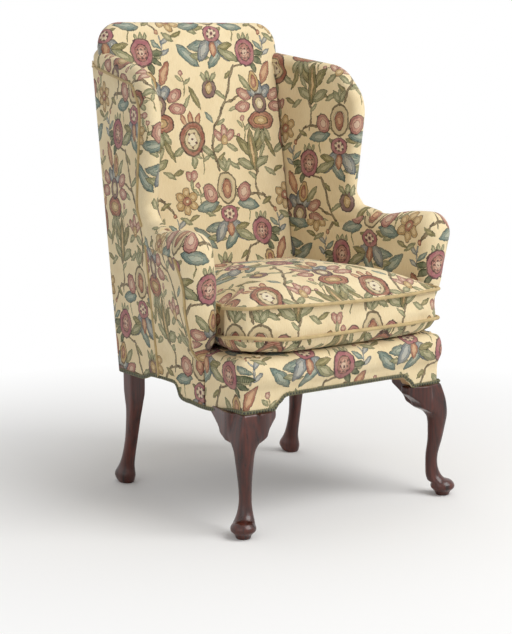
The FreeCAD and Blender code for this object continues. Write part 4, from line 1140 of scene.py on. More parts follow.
@dataclass
class NailedTrim:
    """The dark green gimp close-nailed along the lower edges."""

    lines: Lines = LINES
    height: float = 9.5
    pitch: float = 8.5
    nail: float = 3.2
    pieces: list = field(default_factory=list)

    def edge(self) -> list[Spot]:
        """Lower edge of the cloth from the right rear round the front to the left rear.

        Returns:
            Points of the edge.
        """
        m = self.lines
        side = []
        for y in range(566, 8, -3):
            if y > m.seam_y:
                x = m.outer_x(float(y), 320.0)
            else:
                x = m.side_x(float(y))
            side.append((x + 1.0, float(y), m.side_edge(float(y))))
        across = []
        for x in range(300, -301, -3):
            across.append((float(x), 9.0, m.front_edge(float(x))))
        other = [(-x, y, z) for x, y, z in reversed(side)]
        return side + across + other

    def build(self) -> None:
        """The gimp as toothed strips and one nail copied along it."""
        edge = self.edge()
        path = []
        for i, here in enumerate(edge):
            a, b = edge[max(i - 3, 0)], edge[min(i + 3, len(edge) - 1)]
            heading = Vector((b[0] - a[0], b[1] - a[1], b[2] - a[2])).normalized()
            flat = Vector((b[0] - a[0], b[1] - a[1], 0.0)).normalized()
            out = Vector((-flat.y, flat.x, 0.0))
            middle = Vector((here[0], here[1] - 340.0, 0.0))
            if out.dot(middle) < 0:
                out = -out
            up = out.cross(heading)
            up = up if up.z > 0 else -up
            path.append((metres(*here), up, out))
        lengths = [0.0]
        for a, b in zip(path, path[1:]):
            lengths.append(lengths[-1] + (b[0] - a[0]).length)
        self.pieces.append(self.strip("gimp_front", path, lengths, ["trim_front", "trim_side_right",
                                                                    "trim_side_left"]))
        rear = []
        for k in range(0, 61):
            x = mix(-288.0, 288.0, k / 60.0)
            rear.append((metres(x, self.lines.rear_y(298.0) + 0.4, 298.0), Vector((0.0, 0.0, 1.0)),
                         Vector((0.0, 1.0, 0.0))))
        run = [abs(p[0].x - rear[0][0].x) for p in rear]
        self.pieces.append(self.strip("gimp_rear", rear, run, ["trim_back"]))
        self.pieces.append(self.nails("nails_front", path, lengths))
        self.pieces.append(self.nails("nails_rear", rear, run))

    def strip(self, name: str, path: list, lengths: list[float], nodes: list[str]) -> bpy.types.Object:
        """A low domed braid with scalloped edges.

        Args:
            name: Name of the piece.
            path: Points with their upward and outward directions.
            lengths: Length run at each point, in metres.
            nodes: CAD nodes it stands for.

        Returns:
            The new object.
        """
        section = ((-0.5, 0.0), (-0.5, 0.6), (-0.3, 1.6), (0.0, 2.1), (0.3, 1.6), (0.5, 0.6), (0.5, 0.0))
        fine = 3
        count = (len(path) - 1) * fine

        def place(i: int, j: int) -> tuple[Vector, Spot2]:
            """Grid point of the braid."""
            k, t = divmod(i, fine)
            k, t = (k - 1, fine) if k >= len(path) - 1 else (k, t)
            t /= fine
            spot = path[k][0].lerp(path[k + 1][0], t)
            up = path[k][1].lerp(path[k + 1][1], t).normalized()
            out = path[k][2].lerp(path[k + 1][2], t).normalized()
            run = mix(lengths[k], lengths[k + 1], t)
            across, rise = section[j]
            wave = 1.0 + 0.12 * math.sin(run * 1000.0 / 6.0 * 2.0 * math.pi) * (abs(across) == 0.5)
            height = self.height / 1000.0
            return (spot + up * (height * (0.5 + across * wave)) + out * (rise / 1000.0 + 0.0006),
                    (run, across * height))

        obj = stretched(name, count, len(section) - 1, place)
        turned_out(obj, metres(0, 300, 330))
        smooth(obj, 60)
        thickened(obj, 0.0012)
        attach(obj, "chair")
        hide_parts(*nodes)
        return obj

    def nails(self, name: str, path: list, lengths: list[float]) -> bpy.types.Object:
        """Domed nail heads, modelled once and copied along the braid.

        Args:
            name: Name of the piece.
            path: Points with their upward and outward directions.
            lengths: Length run at each point, in metres.

        Returns:
            The nail heads as one piece.
        """
        spots = []
        want = 0.006
        for k in range(len(path) - 1):
            while want <= lengths[k + 1]:
                t = (want - lengths[k]) / max(lengths[k + 1] - lengths[k], 1e-9)
                here = path[k][0].lerp(path[k + 1][0], t)
                spots.append((here + path[k][1] * (self.height / 2000.0), path[k][2]))
                want += self.pitch / 1000.0
        deselect()
        bpy.ops.mesh.primitive_uv_sphere_add(segments=8, ring_count=6, radius=self.nail / 1000.0)
        head = bpy.context.object
        bpy.ops.object.mode_set(mode="EDIT")
        bpy.ops.mesh.select_all(action="SELECT")
        bpy.ops.mesh.bisect(plane_co=(0, 0, 0), plane_no=(0, 0, 1), clear_inner=True, use_fill=True)
        bpy.ops.object.mode_set(mode="OBJECT")
        head.data.transform(Matrix.Diagonal((1.0, 1.0, 0.55, 1.0)))
        build = bmesh.new()
        for spot, out in spots:
            copy = head.data.copy()
            turn = Vector((0, 0, 1)).rotation_difference(out).to_matrix().to_4x4()
            copy.transform(Matrix.Translation(spot + out * 0.0018) @ turn)
            build.from_mesh(copy)
            bpy.data.meshes.remove(copy)
        build.to_mesh(head.data)
        build.free()
        head.name = name
        head.data.name = name
        smooth(head, 50)
        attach(head, "chair")
        return head


@dataclass
class CarvedWood:
    """Legs and knee brackets, worked over from their sawn blanks to smooth carving."""

    front_grain: float = 0.0024
    back_grain: float = 0.0034
    quick_grain: float = 1.6
    front_passes: int = 16
    back_passes: int = 6
    pieces: list = field(default_factory=list)

    def carve(self, nodes: Sequence[str], grain: float, passes: int) -> bpy.types.Object:
        """A smooth carving in place of faceted solids.

        Args:
            nodes: The CAD nodes it stands for, the main one first.
            grain: Size of the remeshing cells, in metres.
            passes: How often the surface is rubbed down.

        Returns:
            The new object.
        """
        deselect()
        for node in nodes:
            source = bpy.data.objects[node]
            obj = source.copy()
            obj.data = source.data.copy()
            obj.parent = None
            obj.name = node + "_carved"
            obj.data.name = obj.name
            bpy.context.scene.collection.objects.link(obj)
            obj.hide_render = False
            obj.hide_viewport = False
            obj.select_set(True)
        obj = bpy.data.objects[nodes[0] + "_carved"]
        bpy.context.view_layer.objects.active = obj
        if len(nodes) > 1:
            bpy.ops.object.join()
        take(obj)
        bpy.ops.object.mode_set(mode="EDIT")
        bpy.ops.mesh.select_all(action="SELECT")
        bpy.ops.mesh.remove_doubles(threshold=0.00002)
        bpy.ops.object.mode_set(mode="OBJECT")
        remesh = obj.modifiers.new("cells", "REMESH")
        remesh.mode = "VOXEL"
        remesh.voxel_size = grain * 1.0
        rub = obj.modifiers.new("rub", "SMOOTH")
        rub.factor = 0.5
        rub.iterations = passes
        apply_all(obj)
        smooth(obj, 80)
        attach(obj, "chair")
        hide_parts(*nodes)
        return obj

    def build(self) -> None:
        """All legs and brackets."""
        for side in Side:
            front = [f"front_leg_{side.word}", f"knee_bracket_front_{side.word}",
                     f"knee_bracket_side_{side.word}"]
            self.pieces.append(self.carve(front, self.front_grain, self.front_passes))
            back = [f"back_leg_{side.word}"]
            self.pieces.append(self.carve(back, self.back_grain, self.back_passes))


@dataclass
class Seams:
    """Covered welts along the arms and wings."""

    lines: Lines = LINES
    radius: float = 3.4
    pieces: list = field(default_factory=list)

    def build(self) -> None:
        """The upright seam, the wing's outer edge and the arm's lower seam, on both sides."""
        m = self.lines
        upright = [metres(m.seam_x(z) + 1.5, m.seam_y + 3.0, z) for z in range(316, 650, 10)]
        wing = WingCloths()
        rolled = []
        for (py, pz), (oy, oz) in reversed(wing.line()):
            if pz > 684.0 and py < 700.0 and (py > 360.0 or pz > 730.0):
                x = m.wing_middle(py) + m.wing_roll + 1.2
                rolled.append(metres(x, py - oy * 19.0, pz - oz * 19.0))
        nose = []
        for k in range(30):
            z = mix(388.0, 646.0, k / 29.0)
            cx, cy, r = along(m.arm_front, z)
            nose.append(metres(cx + r + 0.5, cy + 6.0, z))
        for label, path in (("upright_seam", upright), ("wing_seam", rolled), ("arm_seam", nose)):
            right = cord_mesh(label + "_right", path, self.radius / 1000.0, 8)
            left = mirrored(right, label + "_left")
            for obj in (right, left):
                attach(obj, "chair")
                self.pieces.append(obj)


def tone(code: str) -> tuple[float, float, float, float]:
    """Linear colour from a written one such as "E6CF9E"."""
    found = []
    for k in (0, 2, 4):
        value = int(code[k:k + 2], 16) / 255.0
        found.append(value / 12.92 if value <= 0.04045 else ((value + 0.055) / 1.055) ** 2.4)
    return found[0], found[1], found[2], 1.0


class Graph:
    """A material's nodes, laid down one after another."""

    def __init__(self, name: str, inner: bool = False) -> None:
        """Starts an empty material with its output and main shader, or an inner group.

        Args:
            name: Name of the material or group.
            inner: Whether it is a group that takes a place and a colour and gives a colour.
        """
        if inner:
            self.tree = bpy.data.node_groups.new(name, "ShaderNodeTree")
            face = self.tree.interface
            face.new_socket("Place", in_out="INPUT", socket_type="NodeSocketVector")
            face.new_socket("Colour", in_out="INPUT", socket_type="NodeSocketColor")
            face.new_socket("Colour", in_out="OUTPUT", socket_type="NodeSocketColor")
            self.output = self.tree.nodes.new("NodeGroupOutput")
            self.entry = self.tree.nodes.new("NodeGroupInput")
            return
        self.material = bpy.data.materials.new(name)
        self.material.use_nodes = True
        self.tree = self.material.node_tree
        self.tree.nodes.clear()
        self.output = self.tree.nodes.new("ShaderNodeOutputMaterial")
        self.shader = self.tree.nodes.new("ShaderNodeBsdfPrincipled")
        self.join(self.shader.outputs[0], self.output.inputs["Surface"])

    def add(self, kind: str, **values) -> bpy.types.Node:
        """New node with its settings."""
        node = self.tree.nodes.new(kind)
        for key, value in values.items():
            setattr(node, key, value)
        return node

    def join(self, source: bpy.types.NodeSocket, target: bpy.types.NodeSocket) -> None:
        """Links two sockets."""
        self.tree.links.new(source, target)

    def feed(self, target: bpy.types.NodeSocket, value: object) -> None:
        """Links a socket or sets a value."""
        if isinstance(value, bpy.types.NodeSocket):
            self.join(value, target)
        else:
            target.default_value = value

    def math(self, operation: str, a: object, b: object = None, c: object = None) -> bpy.types.NodeSocket:
        """One step of arithmetic."""
        node = self.add("ShaderNodeMath", operation=operation)
        for k, value in enumerate((a, b, c)):
            if value is not None:
                self.feed(node.inputs[k], value)
        return node.outputs[0]

    def vector(self, operation: str, a: object, b: object = None, c: object = None) -> bpy.types.Node:
        """One step of vector arithmetic."""
        node = self.add("ShaderNodeVectorMath", operation=operation)
        for k, value in enumerate((a, b, c)):
            if value is not None:
                self.feed(node.inputs[k], value)
        return node

    def noise(self, at: bpy.types.NodeSocket, scale: float, detail: float = 2.0) -> bpy.types.NodeSocket:
        """Fractal noise."""
        node = self.add("ShaderNodeTexNoise")
        node.inputs["Scale"].default_value = scale
        node.inputs["Detail"].default_value = detail
        self.join(at, node.inputs["Vector"])
        return node.outputs[0]

    def ramp(self, value: bpy.types.NodeSocket, stops: Sequence[tuple[float, str, float]],
             stepped: bool = False) -> bpy.types.Node:
        """Colour ramp with (place, colour, alpha) stops.

        Args:
            value: The value that the colours follow.
            stops: Places, colours and alphas.
            stepped: Whether the colours change without a blend.

        Returns:
            The ramp.
        """
        node = self.add("ShaderNodeValToRGB")
        node.color_ramp.interpolation = "CONSTANT" if stepped else "LINEAR"
        points = node.color_ramp.elements
        while len(points) < len(stops):
            points.new(0.5)
        for point, (place, code, alpha) in zip(points, stops):
            point.position = place
            point.color = tone(code)[:3] + (alpha,)
        self.join(value, node.inputs[0])
        return node

    def blend(self, factor: object, a: object, b: object, kind: str = "MIX") -> bpy.types.NodeSocket:
        """Mix of two colours."""
        node = self.add("ShaderNodeMix", data_type="RGBA", blend_type=kind)
        self.feed(node.inputs[0], factor)
        self.feed(node.inputs[6], a)
        self.feed(node.inputs[7], b)
        return node.outputs[2]

    def bump(self, height: bpy.types.NodeSocket, strength: float, distance: float) -> None:
        """Relief on the main shader."""
        node = self.add("ShaderNodeBump")
        node.inputs["Strength"].default_value = strength
        node.inputs["Distance"].default_value = distance
        self.join(height, node.inputs["Height"])
        self.join(node.outputs[0], self.shader.inputs["Normal"])


class Shape(Enum):
    """Outlines that are filled with stitches."""

    OVAL = "oval"
    LEAF = "leaf"


class Wool(Enum):
    """Worked fills: colours from the middle of a shape to its outline."""

    ROSE = ((0.0, "E6C6AC"), (0.36, "8E5450"), (0.42, "D29C88"), (0.66, "8E5450"), (0.71, "B9766C"),
            (0.89, "5C3C3A"))
    RIM = ((0.0, "D9A79A"), (0.26, "F0DEBA"), (0.56, "7A4650"), (0.61, "B26470"), (0.90, "5E3E44"))
    RUST = ((0.0, "DDAE82"), (0.38, "7E4A38"), (0.43, "C07E5C"), (0.68, "7E4A38"), (0.73, "A8604A"),
            (0.90, "553630"))
    GOLD = ((0.0, "E6CB94"), (0.44, "8C6C44"), (0.49, "CBA668"), (0.86, "6B5236"))
    CREAM = ((0.0, "F6E8C8"), (0.52, "A08C66"), (0.57, "E4D0A2"), (0.86, "75664A"))
    SAGE = ((0.0, "C4C098"), (0.30, "6E7250"), (0.36, "9A9C72"), (0.82, "4E533A"))
    TEAL = ((0.0, "B4BFAE"), (0.26, "4E6A62"), (0.32, "8CA096"), (0.60, "4E6A62"), (0.66, "6C8680"),
            (0.87, "3C4C48"))
    BLUE = ((0.0, "C2C4BC"), (0.34, "586470"), (0.40, "98A0A2"), (0.66, "586470"), (0.72, "78848C"),
            (0.88, "424A52"))
    OLIVE = ((0.0, "B0A670"), (0.26, "5E5A36"), (0.32, "8A8452"), (0.84, "48452E"))
    DARK = ((0.0, "6A7656"), (0.55, "4C583E"), (0.86, "30382A"))
    PLUM = ((0.0, "B4968A"), (0.44, "5E4448"), (0.50, "8C6A66"), (0.86, "48363A"))
    BARK = ((0.0, "94805C"), (0.50, "74644A"), (0.86, "4E4234"))
    DOT = ((0.0, "6A4648"),)
    PALE = ((0.0, "EBDCB6"),)


@dataclass(frozen=True)
class Stitch:
    """One filled shape of the embroidery, in millimetres and degrees."""

    shape: Shape
    u: float
    v: float
    wide: float
    high: float
    turn: float
    wool: Wool


def oval(u: float, v: float, wide: float, high: float, turn: float, wool: Wool) -> Stitch:
    """A rounded fill."""
    return Stitch(Shape.OVAL, u, v, wide / 2.0, high / 2.0, turn, wool)


def leaf(u: float, v: float, wide: float, high: float, turn: float, wool: Wool) -> Stitch:
    """A pointed fill whose length runs up the cloth before it is turned."""
    return Stitch(Shape.LEAF, u, v, wide / 2.0, high / 2.0, turn, wool)


def fan(u: float, v: float, reach: float, wide: float, high: float, turns: Sequence[float],
        wool: Wool, pointed: bool = True) -> list[Stitch]:
    """Petals standing round a point.

    Args:
        u: Middle across the cloth.
        v: Middle up the cloth.
        reach: Distance of the petals from the middle.
        wide: Width of each fill.
        high: Length of each fill.
        turns: Direction of each petal, in degrees.
        wool: Its fill.
        pointed: Whether the petals are pointed.

    Returns:
        The petals.
    """
    make = leaf if pointed else oval
    found = []
    for turn in turns:
        a = math.radians(turn)
        found.append(make(u - math.sin(a) * reach, v + math.cos(a) * reach, wide, high, turn, wool))
    return found


def stem(points: Sequence[Spot2], wide: float, wool: Wool) -> list[Stitch]:
    """A stem worked as overlapping lengths along a smooth line.

    Args:
        points: Points of the line.
        wide: Width of each fill.
        wool: Its fill.

    Returns:
        The lengths of the stem.
    """
    rows = [(float(i), p[0], p[1]) for i, p in enumerate(points)]
    steps = max(len(points), 2)
    spots = [tuple(along(rows, (len(points) - 1) * k / steps)) for k in range(steps + 1)]
    found = []
    for a, b in zip(spots, spots[1:]):
        turn = math.degrees(math.atan2(-(b[0] - a[0]), b[1] - a[1]))
        found.append(oval((a[0] + b[0]) / 2, (a[1] + b[1]) / 2, wide, math.dist(a, b) * 1.5, turn, wool))
    return found


@dataclass(frozen=True)
class Crewelwork:
    """Wool embroidery of trailing flowers on a cream twill, a traditional pattern.

    Each motif is a group of stitches round its own middle, so that it wraps over the repeat.
    """

    repeat: Spot2 = (325.0, 478.0)
    weave: float = 0.9

    def motifs(self) -> list[tuple[Spot2, list[Stitch]]]:
        """Middle of each motif and its stitches, from the lowest layer up.

        Returns:
            Middles and stitches, from the lowest layer up.
        """
        w = Wool
        vines = stem(((-47, -41), (-66, -84), (-84, -136), (-122, -190), (-137, -243)), 8.5, w.BARK)
        vines += stem(((-80, -134), (-46, -122), (-22, -108)), 6.5, w.BARK)
        vines += stem(((-47, -41), (-30, -36), (-14, -30)), 6.5, w.BARK)
        vines += stem(((-93, -196), (-72, -220), (-50, -222)), 3.4, w.OLIVE)
        lower = stem(((-67, -366), (-30, -382), (8, -376), (48, -420)), 7.5, w.BARK)
        lower += stem(((7, -311), (-8, -344), (0, -388)), 6.5, w.BARK)
        lower += stem(((-137, -243), (-132, -280), (-122, -312)), 7.5, w.BARK)
        vines += [leaf(-98, -112, 15, 44, 58, w.SAGE), leaf(-66, -60, 13, 36, -50, w.OLIVE),
                  leaf(-140, -172, 14, 40, 40, w.TEAL), leaf(-104, -186, 12, 34, -62, w.SAGE),
                  leaf(-58, -150, 13, 38, -70, w.SAGE), oval(-50, -222, 11, 12, 0, w.ROSE)]
        lower += [leaf(-34, -360, 13, 38, 24, w.SAGE), leaf(24, -398, 13, 38, 118, w.OLIVE),
                  leaf(-14, -330, 12, 34, 50, w.SAGE), leaf(-146, -268, 13, 38, 46, w.SAGE),
                  leaf(-112, -278, 13, 38, -50, w.OLIVE), oval(50, -424, 12, 14, 0, w.RUST)]
        pome = fan(0, 0, 36, 15, 34, (-150, -120, -92), w.DARK)
        pome += fan(0, 0, 34, 10, 22, (-18, 0, 20), w.SAGE)
        pome += [oval(0, 0, 56, 64, 10, w.RIM), oval(-1, 0, 34, 40, 10, w.ROSE)]
        pome += [oval(px, py, 5.0, 5.0, 0, w.DOT) for px in (-9, 0, 9) for py in (-12, -2, 8)]
        pome += [leaf(-48, -6, 22, 60, 62, w.SAGE), leaf(-54, 14, 16, 44, 100, w.OLIVE)]
        bloom = fan(0, -8, 48, 26, 44, (62, -62, 96, -96), w.ROSE, False)
        bloom += [oval(0, -44, 74, 46, 0, w.RUST), oval(0, -44, 44, 22, 0, w.GOLD)]
        bloom += fan(0, -50, 30, 14, 36, (150, 180, -150), w.SAGE)
        bloom += fan(0, 0, 26, 24, 44, (40, -40, 0), w.BLUE, False)
        bloom += [oval(0, -6, 42, 46, 0, w.PLUM), oval(0, -6, 24, 28, 0, w.CREAM)]
        bloom += [oval(-11, 44, 28, 50, 8, w.GOLD), oval(-11, 44, 14, 30, 8, w.RUST)]
        bloom += [leaf(23, 64, 24, 62, -24, w.RUST), leaf(-36, 40, 16, 48, 40, w.SAGE)]
        arch = [leaf(-34, 6, 26, 76, 48, w.TEAL), leaf(6, 26, 26, 80, 92, w.TEAL),
                leaf(38, 2, 24, 66, 140, w.TEAL), leaf(-4, 4, 16, 54, 84, w.SAGE)]
        arch += [oval(-20, 16, 4.5, 4.5, 0, w.PALE), oval(0, 26, 4.5, 4.5, 0, w.PALE),
                 oval(20, 22, 4.5, 4.5, 0, w.PALE), oval(38, 4, 4.5, 4.5, 0, w.PALE)]
        arch += [oval(12, -66, 38, 48, -14, w.PLUM), oval(12, -64, 20, 28, -14, w.GOLD)]
        arch += fan(12, -66, 28, 12, 26, (0, 26, -28), w.SAGE)
        rust = fan(0, 0, 44, 14, 32, (0, 24, -24), w.RUST) + fan(0, -6, 42, 16, 38, (120, -120, 180), w.SAGE)
        rust += [oval(0, 0, 66, 78, -14, w.RUST), oval(0, -2, 42, 52, -14, w.CREAM)]
        rust += [oval(px, py, 5.5, 5.5, 0, w.DOT) for px, py in ((-8, 10), (6, 12), (0, 0), (-9, -10),
                                                              (8, -9), (0, -19))]
        bud = fan(0, 0, 20, 18, 36, (50, -50, 0), w.ROSE, False) + fan(0, -4, 20, 14, 34, (120, -120), w.SAGE)
        bud += [oval(0, 2, 20, 24, 0, w.GOLD)]
        acanthus = [leaf(-22, 14, 24, 62, 38, w.OLIVE), leaf(20, 22, 24, 62, -34, w.OLIVE),
                    leaf(-20, -26, 22, 56, 62, w.SAGE), leaf(20, -22, 22, 56, -62, w.SAGE),
                    leaf(0, 4, 26, 104, 4, w.OLIVE), leaf(0, 0, 9, 76, 4, w.GOLD)]
        iris = fan(0, -4, 56, 26, 64, (100, -100), w.TEAL) + fan(0, -30, 46, 28, 62, (148, -148), w.BLUE)
        iris += fan(0, -10, 52, 20, 50, (60, -60), w.SAGE) + fan(0, 62, 14, 14, 36, (0, 34, -34), w.SAGE)
        iris += [oval(-46, 14, 36, 46, 30, w.ROSE), oval(46, 14, 36, 46, -30, w.ROSE)]
        iris += [oval(0, 24, 54, 72, 0, w.CREAM), oval(0, 22, 26, 42, 0, w.RUST)]
        iris += [leaf(0, -66, 20, 40, 0, w.RUST), oval(0, -33, 46, 40, 0, w.RIM)]
        iris += fan(0, -33, 11, 6, 6, (0, 60, 120, 180, 240, 300), w.DOT, False)
        iris += [oval(0, -33, 7, 7, 0, w.DOT)]
        six = fan(0, 0, 19, 20, 26, (0, 60, 120, 180, 240, 300), w.GOLD, False)
        six += [oval(0, 0, 22, 22, 0, w.RUST), oval(0, 0, 9, 9, 0, w.CREAM)]
        heart = [oval(-6, 2, 18, 26, 24, w.ROSE), oval(6, 2, 18, 26, -24, w.ROSE),
                 leaf(0, -16, 10, 26, 0, w.SAGE)]
        slender = [leaf(0, 0, 15, 66, 28, w.OLIVE), leaf(-24, -10, 12, 42, -32, w.SAGE)]
        spray = stem(((0, 34), (4, 10), (-2, -16)), 4.0, w.BLUE)
        spray += [leaf(14, 26, 13, 34, -50, w.BLUE), leaf(-12, 14, 13, 34, 52, w.TEAL),
                  leaf(12, -2, 12, 30, -58, w.BLUE), leaf(-12, -10, 12, 28, 60, w.SAGE)]
        sprig = stem(((0, -26), (4, 0), (-2, 22)), 3.4, w.OLIVE)
        sprig += [leaf(12, 6, 10, 26, -52, w.SAGE), leaf(-10, 12, 10, 26, 48, w.SAGE),
                  oval(-2, 26, 13, 15, 0, w.ROSE)]
        curl = [leaf(-12, 0, 13, 40, 60, w.SAGE), leaf(12, 6, 12, 34, -70, w.OLIVE)]
        small = [((56, 4), spray), ((52, -253), slender), ((132, -378), sprig), ((112, -82), sprig),
                 ((-60, -300), curl), ((20, -205), curl), ((-40, 60), sprig), ((146, -120), slender),
                 ((-156, -420), curl), ((60, -320), curl), ((152, -285), sprig), ((-30, -205), sprig),
                 ((96, 40), curl), ((-100, 52), curl)]
        large = [((-8, -268), acanthus), ((126, -226), rust), ((-146, -16), arch), ((31, -131), bloom),
                 ((-97, -236), bud), ((-104, -388), iris), ((90, -388), six), ((112, -326), heart),
                 ((0, 0), pome)]
        return ([((-92, -142), self.moved(vines, 92, 142)), ((-40, -350), self.moved(lower, 40, 350))]
                + [(at, self.grown(group, 1.12)) for at, group in small]
                + [(at, self.grown(group, 1.20)) for at, group in large])

    def grown(self, stitches: Sequence[Stitch], by: float) -> list[Stitch]:
        """The same stitches, larger about their middle."""
        return [Stitch(s.shape, s.u * by, s.v * by, s.wide * by, s.high * by, s.turn, s.wool)
                for s in stitches]

    def moved(self, stitches: Sequence[Stitch], du: float, dv: float) -> list[Stitch]:
        """The same stitches at another middle."""
        return [Stitch(s.shape, s.u + du, s.v + dv, s.wide, s.high, s.turn, s.wool) for s in stitches]

    def make(self) -> bpy.types.Material:
        """The material, drawn on each cloth's own coordinates.

        Returns:
            The material.
        """
        g = Graph("crewel_fabric")
        uv = g.add("ShaderNodeTexCoord").outputs["UV"]
        mm = g.vector("SCALE", uv)
        mm.inputs["Scale"].default_value = 1000.0
        flat = mm.outputs[0]
        sway = g.add("ShaderNodeTexNoise")
        sway.inputs["Scale"].default_value = 0.045
        g.join(flat, sway.inputs["Vector"])
        shifted = g.vector("SUBTRACT", sway.outputs["Color"], (0.5, 0.5, 0.5)).outputs[0]
        loose = g.vector("MULTIPLY_ADD", shifted, (11.0, 11.0, 0.0), flat).outputs[0]
        ripple = g.add("ShaderNodeTexNoise")
        ripple.inputs["Scale"].default_value = 0.17
        g.join(flat, ripple.inputs["Vector"])
        nudged = g.vector("SUBTRACT", ripple.outputs["Color"], (0.5, 0.5, 0.5)).outputs[0]
        wander = g.vector("MULTIPLY_ADD", nudged, (5.0, 5.0, 0.0), loose).outputs[0]
        cells = g.vector("SNAP", wander, (0.8, 0.8, 0.8)).outputs[0]
        slub = g.noise(g.vector("MULTIPLY", flat, (0.9, 0.05, 1.0)).outputs[0], 1.0, 3.0)
        ground = g.ramp(slub, ((0.3, "F3DDA8", 1.0), (0.7, "FFEDC4", 1.0))).outputs[0]
        colour = ground
        half = (self.repeat[0] / 2.0, self.repeat[1] / 2.0, 10.0)
        low = (-half[0], -half[1], -10.0)
        for number, ((u, v), stitches) in enumerate(self.motifs()):
            away = g.vector("SUBTRACT", cells, (u, v, 0.0)).outputs[0]
            near = g.vector("WRAP", away, half, low).outputs[0]
            motif = g.add("ShaderNodeGroup", node_tree=self.motif(f"motif_{number}", stitches))
            g.join(near, motif.inputs[0])
            g.join(colour, motif.inputs[1])
            colour = motif.outputs[0]
        colour = self.hatched(g, flat, ground, colour)
        calm = g.add("ShaderNodeHueSaturation")
        calm.inputs["Saturation"].default_value = 0.9
        g.join(colour, calm.inputs["Color"])
        colour = calm.outputs[0]
        faded = g.noise(flat, 0.012, 2.0)
        fade = g.ramp(faded, ((0.3, "F4F0EA", 1.0), (0.7, "FFFFFF", 1.0))).outputs[0]
        colour = g.blend(0.9, colour, fade, "MULTIPLY")
        thread = g.noise(g.vector("MULTIPLY", flat, (0.25, 1.6, 1.0)).outputs[0], 1.0, 2.0)
        strand = g.ramp(thread, ((0.25, "DCD6CC", 1.0), (0.75, "FFFFFF", 1.0))).outputs[0]
        colour = g.blend(0.55, colour, strand, "MULTIPLY")
        g.join(colour, g.shader.inputs["Base Color"])
        g.shader.inputs["Roughness"].default_value = 0.88
        g.shader.inputs["Specular IOR Level"].default_value = 0.22
        g.shader.inputs["Sheen Weight"].default_value = 0.12
        g.shader.inputs["Sheen Roughness"].default_value = 0.5
        parts = g.add("ShaderNodeSeparateXYZ")
        g.join(flat, parts.inputs[0])
        turn = 2.0 * math.pi / self.weave
        warp = g.math("SINE", g.math("MULTIPLY", parts.outputs[0], turn))
        weft = g.math("SINE", g.math("MULTIPLY", parts.outputs[1], turn))
        weave = g.math("MULTIPLY", warp, weft)
        pull = g.noise(g.vector("MULTIPLY", flat, (0.011, 0.02, 1.0)).outputs[0], 1.0, 2.0)
        height = g.math("MULTIPLY_ADD", pull, 5.0, g.math("MULTIPLY", weave, 0.25))
        g.bump(height, 0.45, 0.0012)
        return g.material

    def hatched(self, g: Graph, flat: bpy.types.NodeSocket, ground: bpy.types.NodeSocket,
                colour: bpy.types.NodeSocket) -> bpy.types.NodeSocket:
        """Lets the ground show through the worked fills in a fine slanting lattice, and paints shade in
        stripes along the stitch rows of the fills.

        Args:
            g: The material's nodes.
            flat: Place on the cloth, in millimetres.
            ground: Colour of the bare cloth.
            colour: Colour so far.

        Returns:
            The new colour.
        """
        worked = g.add("ShaderNodeRGBToBW")
        g.join(g.blend(1.0, colour, ground, "DIFFERENCE"), worked.inputs[0])
        mask = g.math("GREATER_THAN", worked.outputs[0], 0.02)
        turn = 2.0 * math.pi / 4.6
        one = g.math("SINE", g.vector("DOT_PRODUCT", flat, (turn, turn * 0.8, 0.0)).outputs["Value"])
        two = g.math("SINE", g.vector("DOT_PRODUCT", flat, (-turn * 0.8, turn, 0.0)).outputs["Value"])
        lattice = g.math("GREATER_THAN", g.math("MULTIPLY", one, two), 0.15)
        patch = g.math("GREATER_THAN", g.noise(flat, 0.05, 1.0), 0.5)
        holes = g.math("MULTIPLY", lattice, mask)
        share = g.math("MULTIPLY", holes, g.math("MULTIPLY_ADD", patch, 0.28, 0.08))
        lit = g.blend(share, colour, ground)
        # Painted shade: grey-brown stripes over the worked fills stand for the shadowed grooves between rows
        # of stitches.
        rows = g.math("SINE", g.vector("DOT_PRODUCT", flat, (0.6, 2.0, 0.0)).outputs["Value"])
        dark = g.math("MULTIPLY", g.math("GREATER_THAN", rows, 0.35), g.math("MULTIPLY", mask, 0.16))
        return g.blend(dark, lit, tone("4A4034"))

    def motif(self, name: str, stitches: Sequence[Stitch]) -> bpy.types.NodeTree:
        """One motif as a group of nodes.

        Args:
            name: Name of the piece.
            stitches: The fills.

        Returns:
            The group.
        """
        g = Graph(name, inner=True)
        near, colour = g.entry.outputs[0], g.entry.outputs[1]
        for s in stitches:
            colour = self.stitched(g, near, s, colour)
        g.join(colour, g.output.inputs[0])
        return g.tree

    def stitched(self, g: Graph, near: bpy.types.NodeSocket, s: Stitch,
                 colour: bpy.types.NodeSocket) -> bpy.types.NodeSocket:
        """Adds one filled shape over the colour so far.

        Args:
            g: The material's nodes.
            near: Place from the motif's middle, in millimetres.
            s: The shape.
            colour: Colour so far.

        Returns:
            The new colour.
        """
        c, d = math.cos(math.radians(s.turn)), math.sin(math.radians(s.turn))
        wide = s.wide * 2.0 if s.shape is Shape.LEAF else s.wide
        away = g.vector("SUBTRACT", near, (s.u, s.v, 0.0)).outputs[0]
        across = g.vector("DOT_PRODUCT", away, (c / wide, d / wide, 0.0)).outputs["Value"]
        up = g.vector("DOT_PRODUCT", away, (-d / s.high, c / s.high, 0.0)).outputs["Value"]
        if s.shape is Shape.LEAF:
            across = g.math("ADD", g.math("ABSOLUTE", across), 0.75)
        total = g.math("MULTIPLY_ADD", up, up, g.math("MULTIPLY", across, across))
        if s.shape is Shape.LEAF:
            total = g.math("SUBTRACT", total, 0.5625)
            stops = [(place * 0.98, code, 1.0) for place, code in s.wool.value]
        else:
            stops = [(place ** 2 * 0.98, code, 1.0) for place, code in s.wool.value]
        fill = g.ramp(total, stops + [(0.985, "000000", 0.0)], stepped=True)
        return g.blend(fill.outputs["Alpha"], colour, fill.outputs["Color"])


